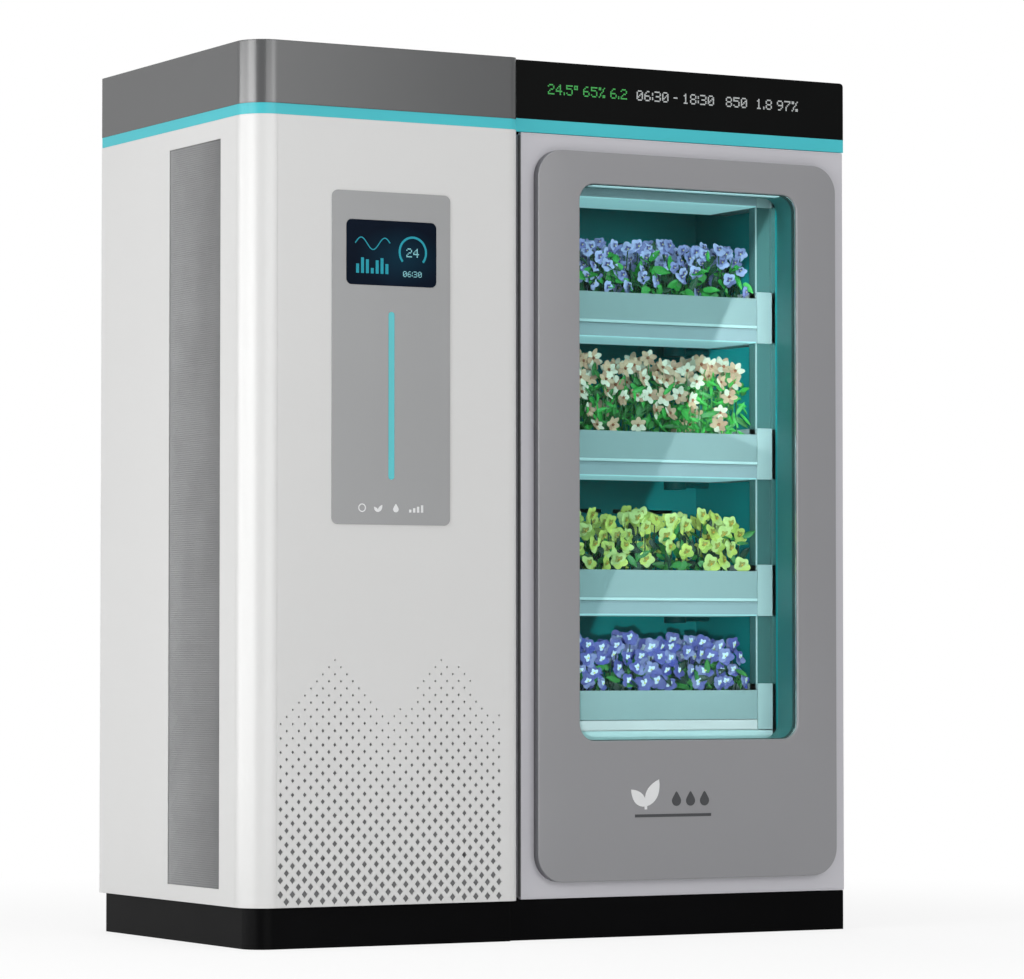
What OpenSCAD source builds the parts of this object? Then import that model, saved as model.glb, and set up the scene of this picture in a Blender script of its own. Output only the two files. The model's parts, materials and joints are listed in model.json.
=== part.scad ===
// Vertical hydroponic cabinet: a service cabinet on the left and a glazed grow cabinet on the right.
// Millimetres. Origin at the middle of the footprint on the floor, +Z up, the front faces -Y.

/* [Overall] */
// Overall width
width = 1415; // [1340:5:1500]
// Overall depth
depth = 720; // [700:5:820]
// Overall height
height = 1800; // [1780:10:1950]
// Height of the black plinth
plinth_h = 82; // [70:1:110]
// How far the plinth stands in from the service cabinet's walls
plinth_inset = 14; // [6:1:30]
// Thickness of the sheet metal panels
panel_t = 2; // [1.5:0.5:3]

/* [Service cabinet] */
// Width of the service cabinet
service_w = 610; // [590:1:640]
// Radius of the front left corner
corner_r = 60; // [40:1:70]
// Radius of the front right corner
edge_r = 20; // [15:1:30]
// Height of the grey cap
cap_h = 126; // [110:1:150]
// Height of the cyan band under the cap
service_band_h = 22; // [14:1:32]
// Width of the side intake
intake_w = 244; // [180:1:300]
// Gap from the front plane to the side intake
intake_y = 135; // [110:1:200]
// Width of the control fascia
fascia_w = 267; // [240:1:300]
// Height of the control fascia
fascia_h = 667; // [600:1:700]
// Gap from the cyan band down to the fascia
fascia_drop = 144; // [110:1:180]
// How far the fascia stands proud of the front panel
fascia_t = 2; // [1:0.5:4]
// Width of the display
display_w = 204; // [180:1:220]
// Height of the display
display_h = 131; // [110:1:150]
// Length of the status light
status_len = 337; // [250:1:360]
// Sideways pitch of the front perforations
perf_pitch_x = 26.6; // [24:0.1:30]
// Upward pitch of the front perforations
perf_pitch_z = 28; // [25:0.1:32]
// Half height of the largest perforation
perf_size = 8; // [4:0.1:9]
// Height of the perforated field at its low points
perf_low_h = 372; // [300:1:430]
// How much higher its two humps rise
perf_hump_h = 108; // [20:1:120]
// Diameter of the exhaust fan
fan_d = 300; // [240:2:320]

/* [Grow cabinet and door] */
// How far the door's face stands behind the service cabinet's front
grow_setback = 25; // [15:1:40]
// Height of the cyan band over the door
grow_band_h = 27; // [16:1:36]
// Width of the grip channel beside the door
grip_gap = 17; // [15:1:30]
// Thickness of the door
door_t = 58; // [50:1:70]
// Gap from the door's back to the cabinet
seal_gap = 4; // [3.5:0.5:8]
// Margin from the door's edge to the bezel
bezel_margin = 30; // [20:1:45]
// How far the bezel stands proud of the door
bezel_t = 20; // [14:1:24]
// Corner radius of the bezel
bezel_r = 58; // [30:1:80]
// Width of the bezel beside the window
window_side = 98; // [92:1:110]
// Height of the bezel over the window
window_top = 66; // [50:1:90]
// Corner radius of the window
window_r = 36; // [20:1:50]
// Thickness of the window glass
glass_t = 6; // [4:0.5:8]
// Radius of the hinge pins
hinge_pin_r = 5; // [4:0.5:6]

/* [Shelves] */
// Height of a tray's front
tray_h = 65; // [58:1:72]
// Height of the bottom tray's front
bottom_tray_h = 62; // [56:1:66]
// How much nearer the bottom tray stands to its light
bottom_lift = 38; // [0:1:45]
// Height of a shelf light
light_h = 30; // [26:1:36]
// Depth of a shelf light
light_d = 194; // [150:1:220]
// Depth of a tray
tray_d = 300; // [296:1:360]
// Width of the rack at each end of a tray
rack_w = 46; // [40:1:56]
// Sideways pitch of the plants
plant_pitch = 72; // [66:1:74]
// Gap from the plants up to their light
plant_gap = 71; // [50:1:110]
// Gap from the tall plants on the second shelf up to their light
tall_plant_gap = 37; // [25:1:80]
// Gap from the plants on the bottom shelf up to their light
bottom_plant_gap = 33; // [25:1:70]
// How far a tray slides out towards the glass
tray_travel = 70; // [40:1:76]

/* [Water] */
// Outer radius of the supply pipe
supply_r = 9; // [7:0.5:10]
// Outer radius of the drain pipe
drain_r = 12; // [9:0.5:16]
// Wall of the water tank
tank_wall = 4; // [3:0.5:6]
// Height of the water tank
tank_h = 228.5; // [180:0.5:260]
// Gap from the water tank to the rear panel
tank_rear_gap = 40; // [20:1:90]
// Radius of the pump
pump_r = 36; // [30:1:38]

/* [Output] */
// Node to draw

/* [Hidden] */
$fn = 48;

// Levels, from the floor
floor_z = plinth_h + panel_t;
band_z = height - cap_h - service_band_h;
header_z = band_z + grow_band_h;
rear_inset = 8;
rear_y = depth - rear_inset - panel_t;

// Clearances
run_gap = 0.05;
fit_gap = 0.5;
lens_gap = 0.3;

// Plinths
plinth_wall = 3;
plinth_rim = 60;
plinth_rear_inset = 4;
floor_front_y = corner_r + 2;

// Service cabinet front
post_flange = 1.5;
post_w = corner_r + post_flange;
edge_w = edge_r + 2;
front_x0 = post_w;
front_x1 = service_w - edge_w;
fascia_offset = 9.5;
fascia_cx = service_w / 2 + fascia_offset;
fascia_z1 = band_z - fascia_drop;
fascia_z0 = fascia_z1 - fascia_h;
fascia_r = 13;
display_drop = 57;
display_cz = fascia_z1 - display_drop - display_h / 2;
display_r = 12;
display_body_d = 14;
display_body_w = display_w - 14;
display_body_h = display_h - 13;
status_w = 14;
status_drop = 240;
status_z1 = fascia_z1 - status_drop;
status_r = 6.5;
band_depth = 7;

// Side intake
intake_foot = 33;
intake_head = 39;
intake_z0 = plinth_h + intake_foot;
intake_z1 = band_z - intake_head;
grille_t = 2;
grille_lap = 14;
grille_edge = 5;
grille_bar = 5;
grille_pitch = 20;
pleat_d = 18;
pleat_t = 3;
pleats = 40;

// Front perforations and the fan behind them
perf_slim = 0.82;
perf_fade = 0.7;
perf_web = 2;
perf_foot = 4;
perf_right = 24;
perf_x0 = front_x0 + perf_web + perf_slim * perf_size;
perf_w = front_x1 - perf_right - perf_x0;
perf_z0 = plinth_h + perf_foot + perf_size;
fan_x = (front_x0 + front_x1) / 2;
fan_rise = 250;
fan_z = plinth_h + fan_rise;
fan_frame_w = fan_d + 30;
fan_standoff = 4;
fan_y = panel_t + fan_standoff;
fan_depth = 44;
fan_shaft_r = 5;
fan_shaft_y = fan_y + 20;
fan_shaft_len = 19;
fan_hub_r = 46;
fan_hub_len = 24;
fan_boss_r = 42;
fan_strut = 12;
fan_strut_t = 8;
fan_strut_y = fan_y + 33;
fan_post_inset = 10;
blades = 7;
blade_t = 3;
blade_chord = 34;
blade_root = 6;
tip_gap = 8;

// Cooling unit behind the fan
coil_y = fan_y + fan_depth + 30;
fins = 14;
fin_pitch = 27;
fin_t = 2;
fin_d = 60;
fin_h = 470;
coil_w = fins * fin_pitch + fin_t;
coil_tube_r = 8;
coil_tube_pitch = 90;
coil_tube_rise = 55;
can_r = 78;
can_foot_r = 100;
can_foot_t = 6;
can_h = 180;
can_dome_r = 30;
can_gap = 260;

// Electrics
board_w = 160;
board_h = 110;
board_t = 2;
board_y = 12;
board_rise = 120;
standoff_inset = 8;
standoff_r = 4;
chips = 4;
chip_pitch = 34;
psu_x = 150;
psu_w = 220;
psu_d = 60;
psu_h = 140;
psu_rise = 60;
psu_z = fascia_z0 + psu_rise;
inlet_inset = 110;
inlet_x = service_w - inlet_inset;
inlet_rise = 90;
inlet_z = plinth_h + inlet_rise;
inlet_w = 29;
inlet_low = 11.5;
inlet_high = 41.5;
rocker_z = inlet_z + 31;
rocker_r = 7;
rocker_w = 17.2;

// Door, bezel and window
door_x0 = service_w + grip_gap;
door_x1 = width - 3;
hinge_plate_t = 3;
door_gap = 1.5;
door_z0 = plinth_h + hinge_plate_t + door_gap;
door_z1 = band_z - hinge_plate_t - door_gap;
door_y0 = grow_setback;
door_y1 = door_y0 + door_t;
mouth_y = door_y1 + seal_gap;
mouth_t = 3;
skin = 2;
bezel_x0 = door_x0 + bezel_margin;
bezel_x1 = door_x1 - bezel_margin;
bezel_z0 = door_z0 + bezel_margin;
bezel_z1 = door_z1 - bezel_margin;
bezel_y = door_y0 - bezel_t;
window_x0 = bezel_x0 + window_side;
window_x1 = bezel_x1 - window_side;
window_z1 = bezel_z1 - window_top;
glass_set = 5;
glass_y = bezel_y + glass_set;
bezel_wall = 3;
reveal_t = 3;
back_plate_t = 3;
hinge_inset = 13;
hinge_x = door_x1 - hinge_inset;
hinge_y = door_y0 + door_t / 2;
hinge_block = 24;
hinge_block_h = 40;
hinge_plate_w = 52;
header_r = 8;

// Shelf levels: four shelves share the height between the water tank and the top of the window
light_drop = 18;
lid_space = 33;
drip_space = 161;
top_light_z = window_z1 - light_drop;
tank_z0 = floor_z;
tank_z1 = tank_z0 + tank_h;
chamber_z0 = tank_z1 + lid_space;
bottom_tray_top = chamber_z0 + drip_space;
shelf_pitch = (top_light_z + tray_h + light_h + bottom_lift - bottom_tray_top) / 4;
grow_h = shelf_pitch - tray_h - light_h;
function light_z(k) = top_light_z - k * shelf_pitch;
function tray_top(k) = light_z(k) - grow_h + (k == 3 ? bottom_lift : 0);
function front_h(k) = k == 3 ? bottom_tray_h : tray_h;
base_light_h = 24;
base_light_z = bottom_tray_top - bottom_tray_h - base_light_h;
window_foot = 102;
window_z0 = bottom_tray_top - window_foot;
liner_overlap = 13;
chamber_cx = (window_x0 + window_x1) / 2;
tray_w = window_x1 - window_x0 + liner_overlap - 2 * rack_w;
chamber_x0 = chamber_cx - tray_w / 2 - rack_w;
chamber_x1 = chamber_cx + tray_w / 2 + rack_w;
roof_gap = 37;
chamber_z1 = top_light_z + light_h + roof_gap;
tray_setback = 13;
tray_rear_gap = 25;
tray_y = mouth_y + tray_setback;
chamber_y1 = tray_y + tray_d + tray_rear_gap;
liner_t = 3;
rack_t = 3;
upright_w = 10;
upright_d = 81;
plate_set = 8;
plate_return = 24;
bracket_lip = 14;
diffuser_t = 3;
lip_h = 9;
groove_h = 4;
groove_d = 7;
tray_gap = 1.5;
tray_x0 = chamber_cx - tray_w / 2 + tray_gap;
tray_x1 = chamber_cx + tray_w / 2 - tray_gap;
slide_gap = 0.5;
tray_wall = 3;
tray_ledge = 7;
deck_drop = 8;
deck_t = 3;

// Plants in their pots: as many as fit the tray's width in the front row, one fewer behind
pot_r = 24;
pot_h = 40;
pot_rim = 5;
pot_wall = 2;
pot_margin = 13;
front_row_y = 65;
rear_row_y = 165;
row_y = [tray_y + front_row_y, tray_y + rear_row_y];
front_row = floor((tray_w - 2 * (pot_r + pot_rim + pot_margin)) / plant_pitch) + 1;
plant_r = 34;
bloom_r = 17;
function plant_room(k) = k == 1 ? tall_plant_gap : k == 3 ? bottom_plant_gap : plant_gap;
function plant_top(k) = light_z(k) - tray_top(k) - plant_room(k);

// Water
riser_gap = 14;
riser_x = chamber_x0 - liner_t - riser_gap;
riser_back = 200;
riser_y = tray_y + riser_back;
branch_r = 6;
branch_rise = 20;
nozzle_x = tray_x0 + 32;
nozzle_gap = 10;
drain_gap = 48;
drain_x = chamber_x1 + liner_t + drain_gap;
drain_inset = 20;
drain_y = tray_y + tray_d - drain_inset;
spigot_r = 11;
spigot_len = 12;
cup_r = 24;
cup_h = 28;
cup_drop = 32;
drop_x = tray_x1 - 34;
tank_x0 = riser_x - 60;
tank_x1 = drain_x + 26;
tank_front_gap = 20;
tank_y0 = mouth_y + mouth_t + tank_front_gap;
tank_y1 = rear_y - tank_rear_gap;
lid_t = 3;
lid_lap = 2;
pump_x = tank_x0 + tank_wall + pump_r + 4;
pump_y = riser_y;
pump_h = 84;
impeller_r = pump_r - 8;
shaft_r = 4;
filler_x = chamber_cx;
filler_y = tank_y0 + 80;
filler_r = 30;
neck_h = 14;
neck_wall = 4;
cap_wall = 4;
float_x = chamber_cx - 110;
float_y = (tank_y0 + tank_y1) / 2 + 100;
float_r = 24;
float_h = 34;
float_rod_r = 4;
float_rest = 30;
float_z = tank_z0 + tank_wall + float_rest;

// Outlines
function arc(c, r, a0, a1, n = 8) =
    [for (i = [0:n]) let (a = a0 + (a1 - a0) * i / n) [c[0] + r * cos(a), c[1] + r * sin(a)]];
function rounded(x0, x1, z0, z1, r, n = 10) = concat(
    arc([x1 - r, z1 - r], r, 0, 90, n), arc([x0 + r, z1 - r], r, 90, 180, n),
    arc([x0 + r, z0 + r], r, 180, 270, n), arc([x1 - r, z0 + r], r, 270, 360, n));
function corner_path(o) = arc([corner_r, corner_r], corner_r - o, 180, 270, 24);
function service_outline(o) = concat(corner_path(o),
    arc([service_w - edge_r, edge_r], edge_r - o, 270, 360, 8),
    [[service_w - o, depth - o], [o, depth - o]]);
function reversed(p) = [for (i = [len(p) - 1:-1:0]) p[i]];
function window_outline(o) =
    rounded(window_x0 - o, window_x1 + o, window_z0 - o, window_z1 + o, window_r + o);

// Perforations: staggered diamonds that shrink upwards under a two-humped top
function hump_z(x) =
    perf_z0 + perf_low_h + perf_hump_h * pow(sin(360 * (x - perf_x0) / perf_w), 2);
perf_steps = floor(2 * perf_w / perf_pitch_x);
perf_rows = 2 * floor((perf_low_h + perf_hump_h) / perf_pitch_z);
perf_list = [for (j = [0:perf_rows]) for (i = [(j + 1) % 2:2:perf_steps])
    let (x = perf_x0 + i * perf_pitch_x / 2, z = perf_z0 + j * perf_pitch_z / 2)
    if (z < hump_z(x))
    [x, z, perf_size * (1 - perf_fade * (z - perf_z0) / (hump_z(x) - perf_z0))]];
function diamond(h) = [[h[0] - perf_slim * h[2], h[1]], [h[0], h[1] - h[2]],
    [h[0] + perf_slim * h[2], h[1]], [h[0], h[1] + h[2]]];
function oblong(x0, x1, z0, z1) = [[x0, z0], [x1, z0], [x1, z1], [x0, z1]];

// Helpers
module at_origin() translate([-width / 2, -depth / 2, 0]) children();
module box(x0, x1, y0, y1, z0, z1)
    translate([x0, y0, z0]) cube([x1 - x0, y1 - y0, z1 - z0]);
module facing(y0, y1)
    translate([0, y1, 0]) rotate([90, 0, 0]) linear_extrude(y1 - y0) children();
module sideways(x0, x1)
    translate([x0, 0, 0]) rotate([90, 0, 90]) linear_extrude(x1 - x0) children();
module upright(x, y, z0, z1, r)
    translate([x, y, z0]) cylinder(r = r, h = z1 - z0);
module along_x(x0, x1, y, z, r)
    translate([x0, y, z]) rotate([0, 90, 0]) cylinder(r = r, h = x1 - x0);
module along_y(x, y0, y1, z, r)
    translate([x, y0, z]) rotate([-90, 0, 0]) cylinder(r = r, h = y1 - y0);

// Plinths: hollow, with a rim to stand on
plinth_y1 = depth - plinth_rear_inset;
grow_plinth_x0 = service_w - plinth_inset + 1;
grow_plinth_y0 = grow_setback + 3;
function service_plinth_outline(o) = let (e = plinth_inset + o) concat(corner_path(e),
    [[service_w - e, e], [service_w - e, plinth_y1 - o], [e, plinth_y1 - o]]);
function grow_plinth_outline(o) =
    oblong(grow_plinth_x0 + o, door_x1 - o, grow_plinth_y0 + o, plinth_y1 - o);
module plinth(outer, inner, x0, x1, y0, y1) difference() {
    linear_extrude(plinth_h) polygon(outer);
    translate([0, 0, plinth_wall]) linear_extrude(plinth_h - 2 * plinth_wall) polygon(inner);
    box(x0 + plinth_rim, x1 - plinth_rim, y0 + plinth_rim, y1 - plinth_rim, -1, plinth_wall + 1);
}
module service_plinth() color("#151515") {
    plinth(service_plinth_outline(0), service_plinth_outline(plinth_wall),
        plinth_inset, service_w - plinth_inset, plinth_inset, plinth_y1);
    box(panel_t, service_w - panel_t, floor_front_y, rear_y, plinth_h, floor_z);
}
module grow_plinth() color("#151515") {
    plinth(grow_plinth_outline(0), grow_plinth_outline(plinth_wall),
        grow_plinth_x0, door_x1, grow_plinth_y0, plinth_y1);
    box(service_w + 1, width - panel_t, mouth_y, rear_y, plinth_h, floor_z);
}

// Service cabinet shell
module corner_post() color("#dcdcda") translate([0, 0, plinth_h]) linear_extrude(band_z - plinth_h)
    polygon(concat([[0, post_w]], corner_path(0), [[post_w, 0], [post_w, panel_t]],
        reversed(corner_path(panel_t)), [[panel_t, post_w]]));
module edge_post() color("#dcdcda") translate([0, 0, plinth_h]) linear_extrude(band_z - plinth_h)
    polygon(concat([[front_x1, 0]], arc([service_w - edge_r, edge_r], edge_r, 270, 360),
        [[service_w, edge_w], [service_w - panel_t, edge_w]],
        reversed(arc([service_w - edge_r, edge_r], edge_r - panel_t, 270, 360)),
        [[front_x1, panel_t]]));
module service_left_panel() color("#dcdcda") difference() {
    box(0, panel_t, post_w, depth, plinth_h, band_z);
    box(-1, panel_t + 1, intake_y, intake_y + intake_w, intake_z0, intake_z1);
}
module service_front_panel() color("#dcdcda") facing(0, panel_t) difference() {
    polygon(oblong(front_x0, front_x1, plinth_h, band_z));
    polygon(oblong(fascia_cx - display_body_w / 2, fascia_cx + display_body_w / 2,
        display_cz - display_body_h / 2, display_cz + display_body_h / 2));
    for (h = perf_list) polygon(diamond(h));
}
module service_right_panel() color("#c9c9c8")
    box(service_w - panel_t, service_w, edge_w, depth, plinth_h, band_z);
module service_rear_panel() color("#c9c9c8") difference() {
    box(panel_t, service_w - panel_t, rear_y, rear_y + panel_t, floor_z, band_z);
    box(inlet_x - inlet_w / 2 - fit_gap, inlet_x + inlet_w / 2 + fit_gap, rear_y - 1, rear_y + panel_t + 1,
        inlet_z - inlet_low - fit_gap, inlet_z + inlet_high + fit_gap);
}
module service_cap() color("#77787a") difference() {
    translate([0, 0, band_z + service_band_h])
        linear_extrude(cap_h) polygon(service_outline(0));
    translate([0, 0, band_z + service_band_h - 1])
        linear_extrude(cap_h - panel_t + 1) polygon(service_outline(panel_t));
}
module light_bands() color("#67c3cb") {
    difference() {
        translate([0, 0, band_z]) linear_extrude(service_band_h) polygon(service_outline(fit_gap));
        translate([0, 0, band_z - 1])
            linear_extrude(service_band_h + 2) polygon(service_outline(band_depth));
    }
    difference() {
        box(service_w + fit_gap, width, grow_setback, depth, band_z, header_z);
        box(service_w + fit_gap + band_depth, width - band_depth, grow_setback + band_depth,
            depth - band_depth, band_z - 1, header_z + 1);
    }
}
module intake_grille() color("#8a8c8e") sideways(panel_t, panel_t + grille_t) {
    field_y = intake_w - 2 * grille_edge;
    field_z = intake_z1 - intake_z0 - 2 * grille_edge;
    cols = floor(field_y / (2 * grille_pitch)) + 1;
    rows = floor(field_z / grille_pitch);
    pitch_y = field_y / cols;
    pitch_z = field_z / rows;
    difference() {
        polygon(oblong(intake_y - grille_lap, intake_y + intake_w + grille_lap,
            intake_z0 - grille_lap, intake_z1 + grille_lap));
        for (j = [0:rows - 1]) for (i = [0:cols - 1]) {
            y = intake_y + grille_edge + i * pitch_y;
            z = intake_z0 + grille_edge + j * pitch_z;
            polygon(oblong(y + grille_bar / 2, y + pitch_y - grille_bar / 2,
                z + grille_bar / 2, z + pitch_z - grille_bar / 2));
        }
    }
}
module air_filter() color("#b9bfc0") {
    x0 = panel_t + grille_t;
    step = (intake_z1 - intake_z0) / pleats;
    front = [for (i = [0:pleats]) [x0 + (i % 2) * pleat_d, intake_z0 + i * step]];
    back = [for (i = [pleats:-1:0]) [x0 + pleat_t + (i % 2) * pleat_d, intake_z0 + i * step]];
    facing(intake_y, intake_y + intake_w) polygon(concat(front, back));
}

// Controls
function display_edge(o) = rounded(fascia_cx - display_w / 2 + o, fascia_cx + display_w / 2 - o,
    display_cz - display_h / 2 + o, display_cz + display_h / 2 - o, display_r - o, 6);
function status_edge(o) = rounded(fascia_cx - status_w / 2 + o, fascia_cx + status_w / 2 - o,
    status_z1 - status_len + o, status_z1 - o, status_r - o, 6);
module control_fascia() color("#97989a") facing(-fascia_t, 0) difference() {
    polygon(rounded(fascia_cx - fascia_w / 2, fascia_cx + fascia_w / 2, fascia_z0, fascia_z1, fascia_r, 6));
    polygon(display_edge(0));
    polygon(status_edge(0));
}
module display_screen() color("#0c2034") {
    facing(-fascia_t, 0) polygon(display_edge(lens_gap));
    box(fascia_cx - display_body_w / 2 + fit_gap, fascia_cx + display_body_w / 2 - fit_gap,
        0, display_body_d,
        display_cz - display_body_h / 2 + fit_gap, display_cz + display_body_h / 2 - fit_gap);
}
module status_light() color("#8fe6ea") facing(-fascia_t, 0) polygon(status_edge(lens_gap));
module control_board() color("#1d6b3c") {
    x0 = fascia_cx - board_w / 2;
    z0 = fascia_z0 + board_rise;
    box(x0, x0 + board_w, board_y, board_y + board_t, z0, z0 + board_h);
    for (x = [x0 + standoff_inset, x0 + board_w - standoff_inset])
        for (z = [z0 + standoff_inset, z0 + board_h - standoff_inset])
            along_y(x, panel_t, board_y, z, standoff_r);
    for (i = [0:chips - 1]) translate([x0 + 18 + i * chip_pitch, board_y + board_t, z0 + 30])
        cube([22, 5, 40]);
}
module power_supply() color("#a8abad") {
    box(psu_x, psu_x + psu_w, rear_y - psu_d, rear_y, psu_z, psu_z + psu_h);
    rib_pitch = (psu_w - 20) / 6;
    for (i = [0:5]) translate([psu_x + 20 + i * rib_pitch, rear_y - psu_d - 6, psu_z + 10])
        cube([20, 6, psu_h - 20]);
}
module mains_inlet() color("#1b1b1b") difference() {
    union() {
        box(inlet_x - inlet_w / 2, inlet_x + inlet_w / 2, rear_y - 22, rear_y + panel_t,
            inlet_z - inlet_low, inlet_z + inlet_high);
        box(inlet_x - inlet_w / 2 - 7.5, inlet_x + inlet_w / 2 + 7.5, rear_y + panel_t, rear_y + panel_t + 3,
            inlet_z - inlet_low - 8.5, inlet_z + inlet_high + 8.5);
    }
    box(inlet_x - 11, inlet_x + 11, rear_y - 14, rear_y + 10, inlet_z - 8, inlet_z + 8);
    along_x(inlet_x - rocker_w / 2 - 0.4, inlet_x + rocker_w / 2 + 0.4, rear_y, rocker_z, rocker_r + run_gap);
    box(inlet_x - rocker_w / 2 - 0.4, inlet_x + rocker_w / 2 + 0.4, rear_y, rear_y + 10,
        rocker_z - rocker_r - 1, rocker_z + rocker_r + 1);
}
module rocker_switch() color("#a12222") {
    along_x(inlet_x - rocker_w / 2, inlet_x + rocker_w / 2, rear_y, rocker_z, rocker_r);
    box(inlet_x - 5, inlet_x + 5, rear_y + 3, rear_y + rocker_r + 2, rocker_z - 2.5, rocker_z + 0.5);
}

// Air
module cooling_coil() color("#b7b9bb") {
    x0 = fan_x - coil_w / 2;
    for (i = [0:fins]) translate([x0 + i * fin_pitch, coil_y, floor_z]) cube([fin_t, fin_d, fin_h]);
    for (j = [0:4]) along_x(x0, x0 + coil_w, coil_y + fin_d / 2,
        floor_z + coil_tube_rise + j * coil_tube_pitch, coil_tube_r);
}
module compressor() color("#2a2b2d") {
    y = coil_y + can_gap;
    translate([fan_x, y, floor_z]) rotate_extrude()
        polygon(concat([[0, 0], [can_foot_r, 0], [can_foot_r, can_foot_t], [can_r, can_foot_t]],
            arc([can_r - can_dome_r, can_h - can_dome_r], can_dome_r, 0, 90, 8), [[0, can_h]]));
    upright(fan_x + can_dome_r, y, floor_z + can_h - 10, floor_z + can_h + 30, coil_tube_r);
}
module fan_frame() color("#222426") {
    reach = fan_d / 2 + fan_strut / 2;
    post = fan_frame_w / 2 - fan_post_inset;
    difference() {
        union() {
            difference() {
                box(fan_x - fan_frame_w / 2, fan_x + fan_frame_w / 2, fan_y, fan_y + fan_depth,
                    fan_z - fan_frame_w / 2, fan_z + fan_frame_w / 2);
                along_y(fan_x, fan_y - 1, fan_y + fan_depth + 1, fan_z, fan_d / 2);
            }
            along_y(fan_x, fan_strut_y - 2, fan_y + fan_depth - 1, fan_z, fan_boss_r);
            box(fan_x - reach, fan_x + reach, fan_strut_y, fan_strut_y + fan_strut_t,
                fan_z - fan_strut / 2, fan_z + fan_strut / 2);
            box(fan_x - fan_strut / 2, fan_x + fan_strut / 2, fan_strut_y, fan_strut_y + fan_strut_t,
                fan_z - reach, fan_z + reach);
        }
        along_y(fan_x, fan_shaft_y, fan_shaft_y + fan_shaft_len + 1, fan_z, fan_shaft_r + run_gap);
    }
    for (sx = [-1, 1]) for (sz = [-1, 1])
        along_y(fan_x + sx * post, panel_t, fan_y + 2, fan_z + sz * post, fan_strut / 2);
}
module fan_rotor() color("#3a3d40") {
    hub_y = fan_y + fan_standoff;
    along_y(fan_x, hub_y, hub_y + fan_hub_len, fan_z, fan_hub_r);
    along_y(fan_x, fan_shaft_y, fan_shaft_y + fan_shaft_len, fan_z, fan_shaft_r);
    for (i = [0:blades - 1]) translate([fan_x, hub_y + fan_hub_len / 2, fan_z])
        rotate([0, i * 360 / blades, 0]) translate([fan_hub_r - blade_root, 0, 0])
            rotate([32, 0, 0]) translate([0, -blade_t / 2, -blade_chord / 2])
                cube([fan_d / 2 - tip_gap - fan_hub_r + blade_root, blade_t, blade_chord]);
}

// Grow cabinet shell
module grow_header() color("#141414") difference() {
    facing(grow_setback, depth) polygon(concat([[service_w + fit_gap, header_z], [width, header_z]],
        arc([width - header_r, height - header_r], header_r, 0, 90, 6), [[service_w + fit_gap, height]]));
    box(service_w + fit_gap + panel_t, width - panel_t, grow_setback + panel_t, depth - panel_t,
        header_z - 1, height - panel_t);
}
module grow_right_panel() color("#d2d2d4")
    box(width - panel_t, width, mouth_y, depth, plinth_h, band_z);
module grow_rear_panel() color("#c9c9c8")
    box(service_w + fit_gap, width - panel_t, rear_y, rear_y + panel_t, floor_z, band_z);
module rear_screws() color("#8d8f92") {
    side = 14;
    end = 60;
    for (i = [0:4]) for (x = [side, service_w - side, service_w + side, width - side])
        along_y(x, rear_y + panel_t, rear_y + panel_t + 2.5,
            floor_z + end + i * (band_z - floor_z - 2 * end) / 4, 5);
}
module mouth_frame() color("#3a3c3f") difference() {
    box(service_w + fit_gap, width - panel_t, mouth_y, mouth_y + mouth_t, floor_z, band_z);
    box(chamber_x0, chamber_x1, mouth_y - 1, mouth_y + mouth_t + 1, chamber_z0, chamber_z1);
    box(tank_x0 - 8, tank_x1 + 8, mouth_y - 1, mouth_y + mouth_t + 1, floor_z + 8, tank_z1 + 22);
}
module chamber_liner() color("#0c4a48") difference() {
    box(chamber_x0 - liner_t, chamber_x1 + liner_t, mouth_y + mouth_t, chamber_y1 + liner_t,
        chamber_z0 - liner_t, chamber_z1 + liner_t);
    box(chamber_x0, chamber_x1, mouth_y, chamber_y1, chamber_z0, chamber_z1);
    vent_pitch = tray_w / 5;
    for (k = [0:3]) {
        along_x(chamber_x0 - 10, chamber_x0 + 10, riser_y, tray_top(k) + branch_rise, branch_r + fit_gap);
        along_x(chamber_x1 - 10, chamber_x1 + 10, drain_y, pipe_z(k), branch_r + 2 + fit_gap);
        for (i = [-2:2]) translate([chamber_cx + (i - 1 / 3) * vent_pitch, chamber_y1 - 1, light_z(k) - 65])
            cube([vent_pitch * 2 / 3, liner_t + 2, 8]);
    }
}
module rack_bracket(z0, z1) {
    box(chamber_x0, chamber_x0 + rack_w, tray_y, tray_y + rack_t, z0, z1);
    box(chamber_x0 + rack_w - rack_t, chamber_x0 + rack_w, tray_y, tray_y + light_d, z0, z1);
    box(chamber_x0, chamber_x0 + rack_w, tray_y, tray_y + light_d, z0, z0 + rack_t);
}
module rack_plate() {
    inner = chamber_x0 + rack_w;
    y0 = tray_y + plate_set;
    z1 = light_z(0) + light_h;
    box(chamber_x0, inner, y0, y0 + rack_t, base_light_z, z1);
    box(inner - rack_t, inner, y0, y0 + plate_return, base_light_z, z1);
}
module rack_side() {
    box(chamber_x0, chamber_x0 + upright_w, tray_y, tray_y + upright_d, chamber_z0, chamber_z1);
    rack_plate();
    rack_bracket(light_z(0), light_z(0) + light_h);
    for (k = [0:2]) rack_bracket(light_z(k + 1), tray_top(k) + bracket_lip);
    rack_bracket(base_light_z, tray_top(3) + bracket_lip);
}
module rack_sides() color("#6fa3a4") {
    rack_side();
    translate([2 * chamber_cx, 0, 0]) mirror([1, 0, 0]) rack_side();
}
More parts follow.
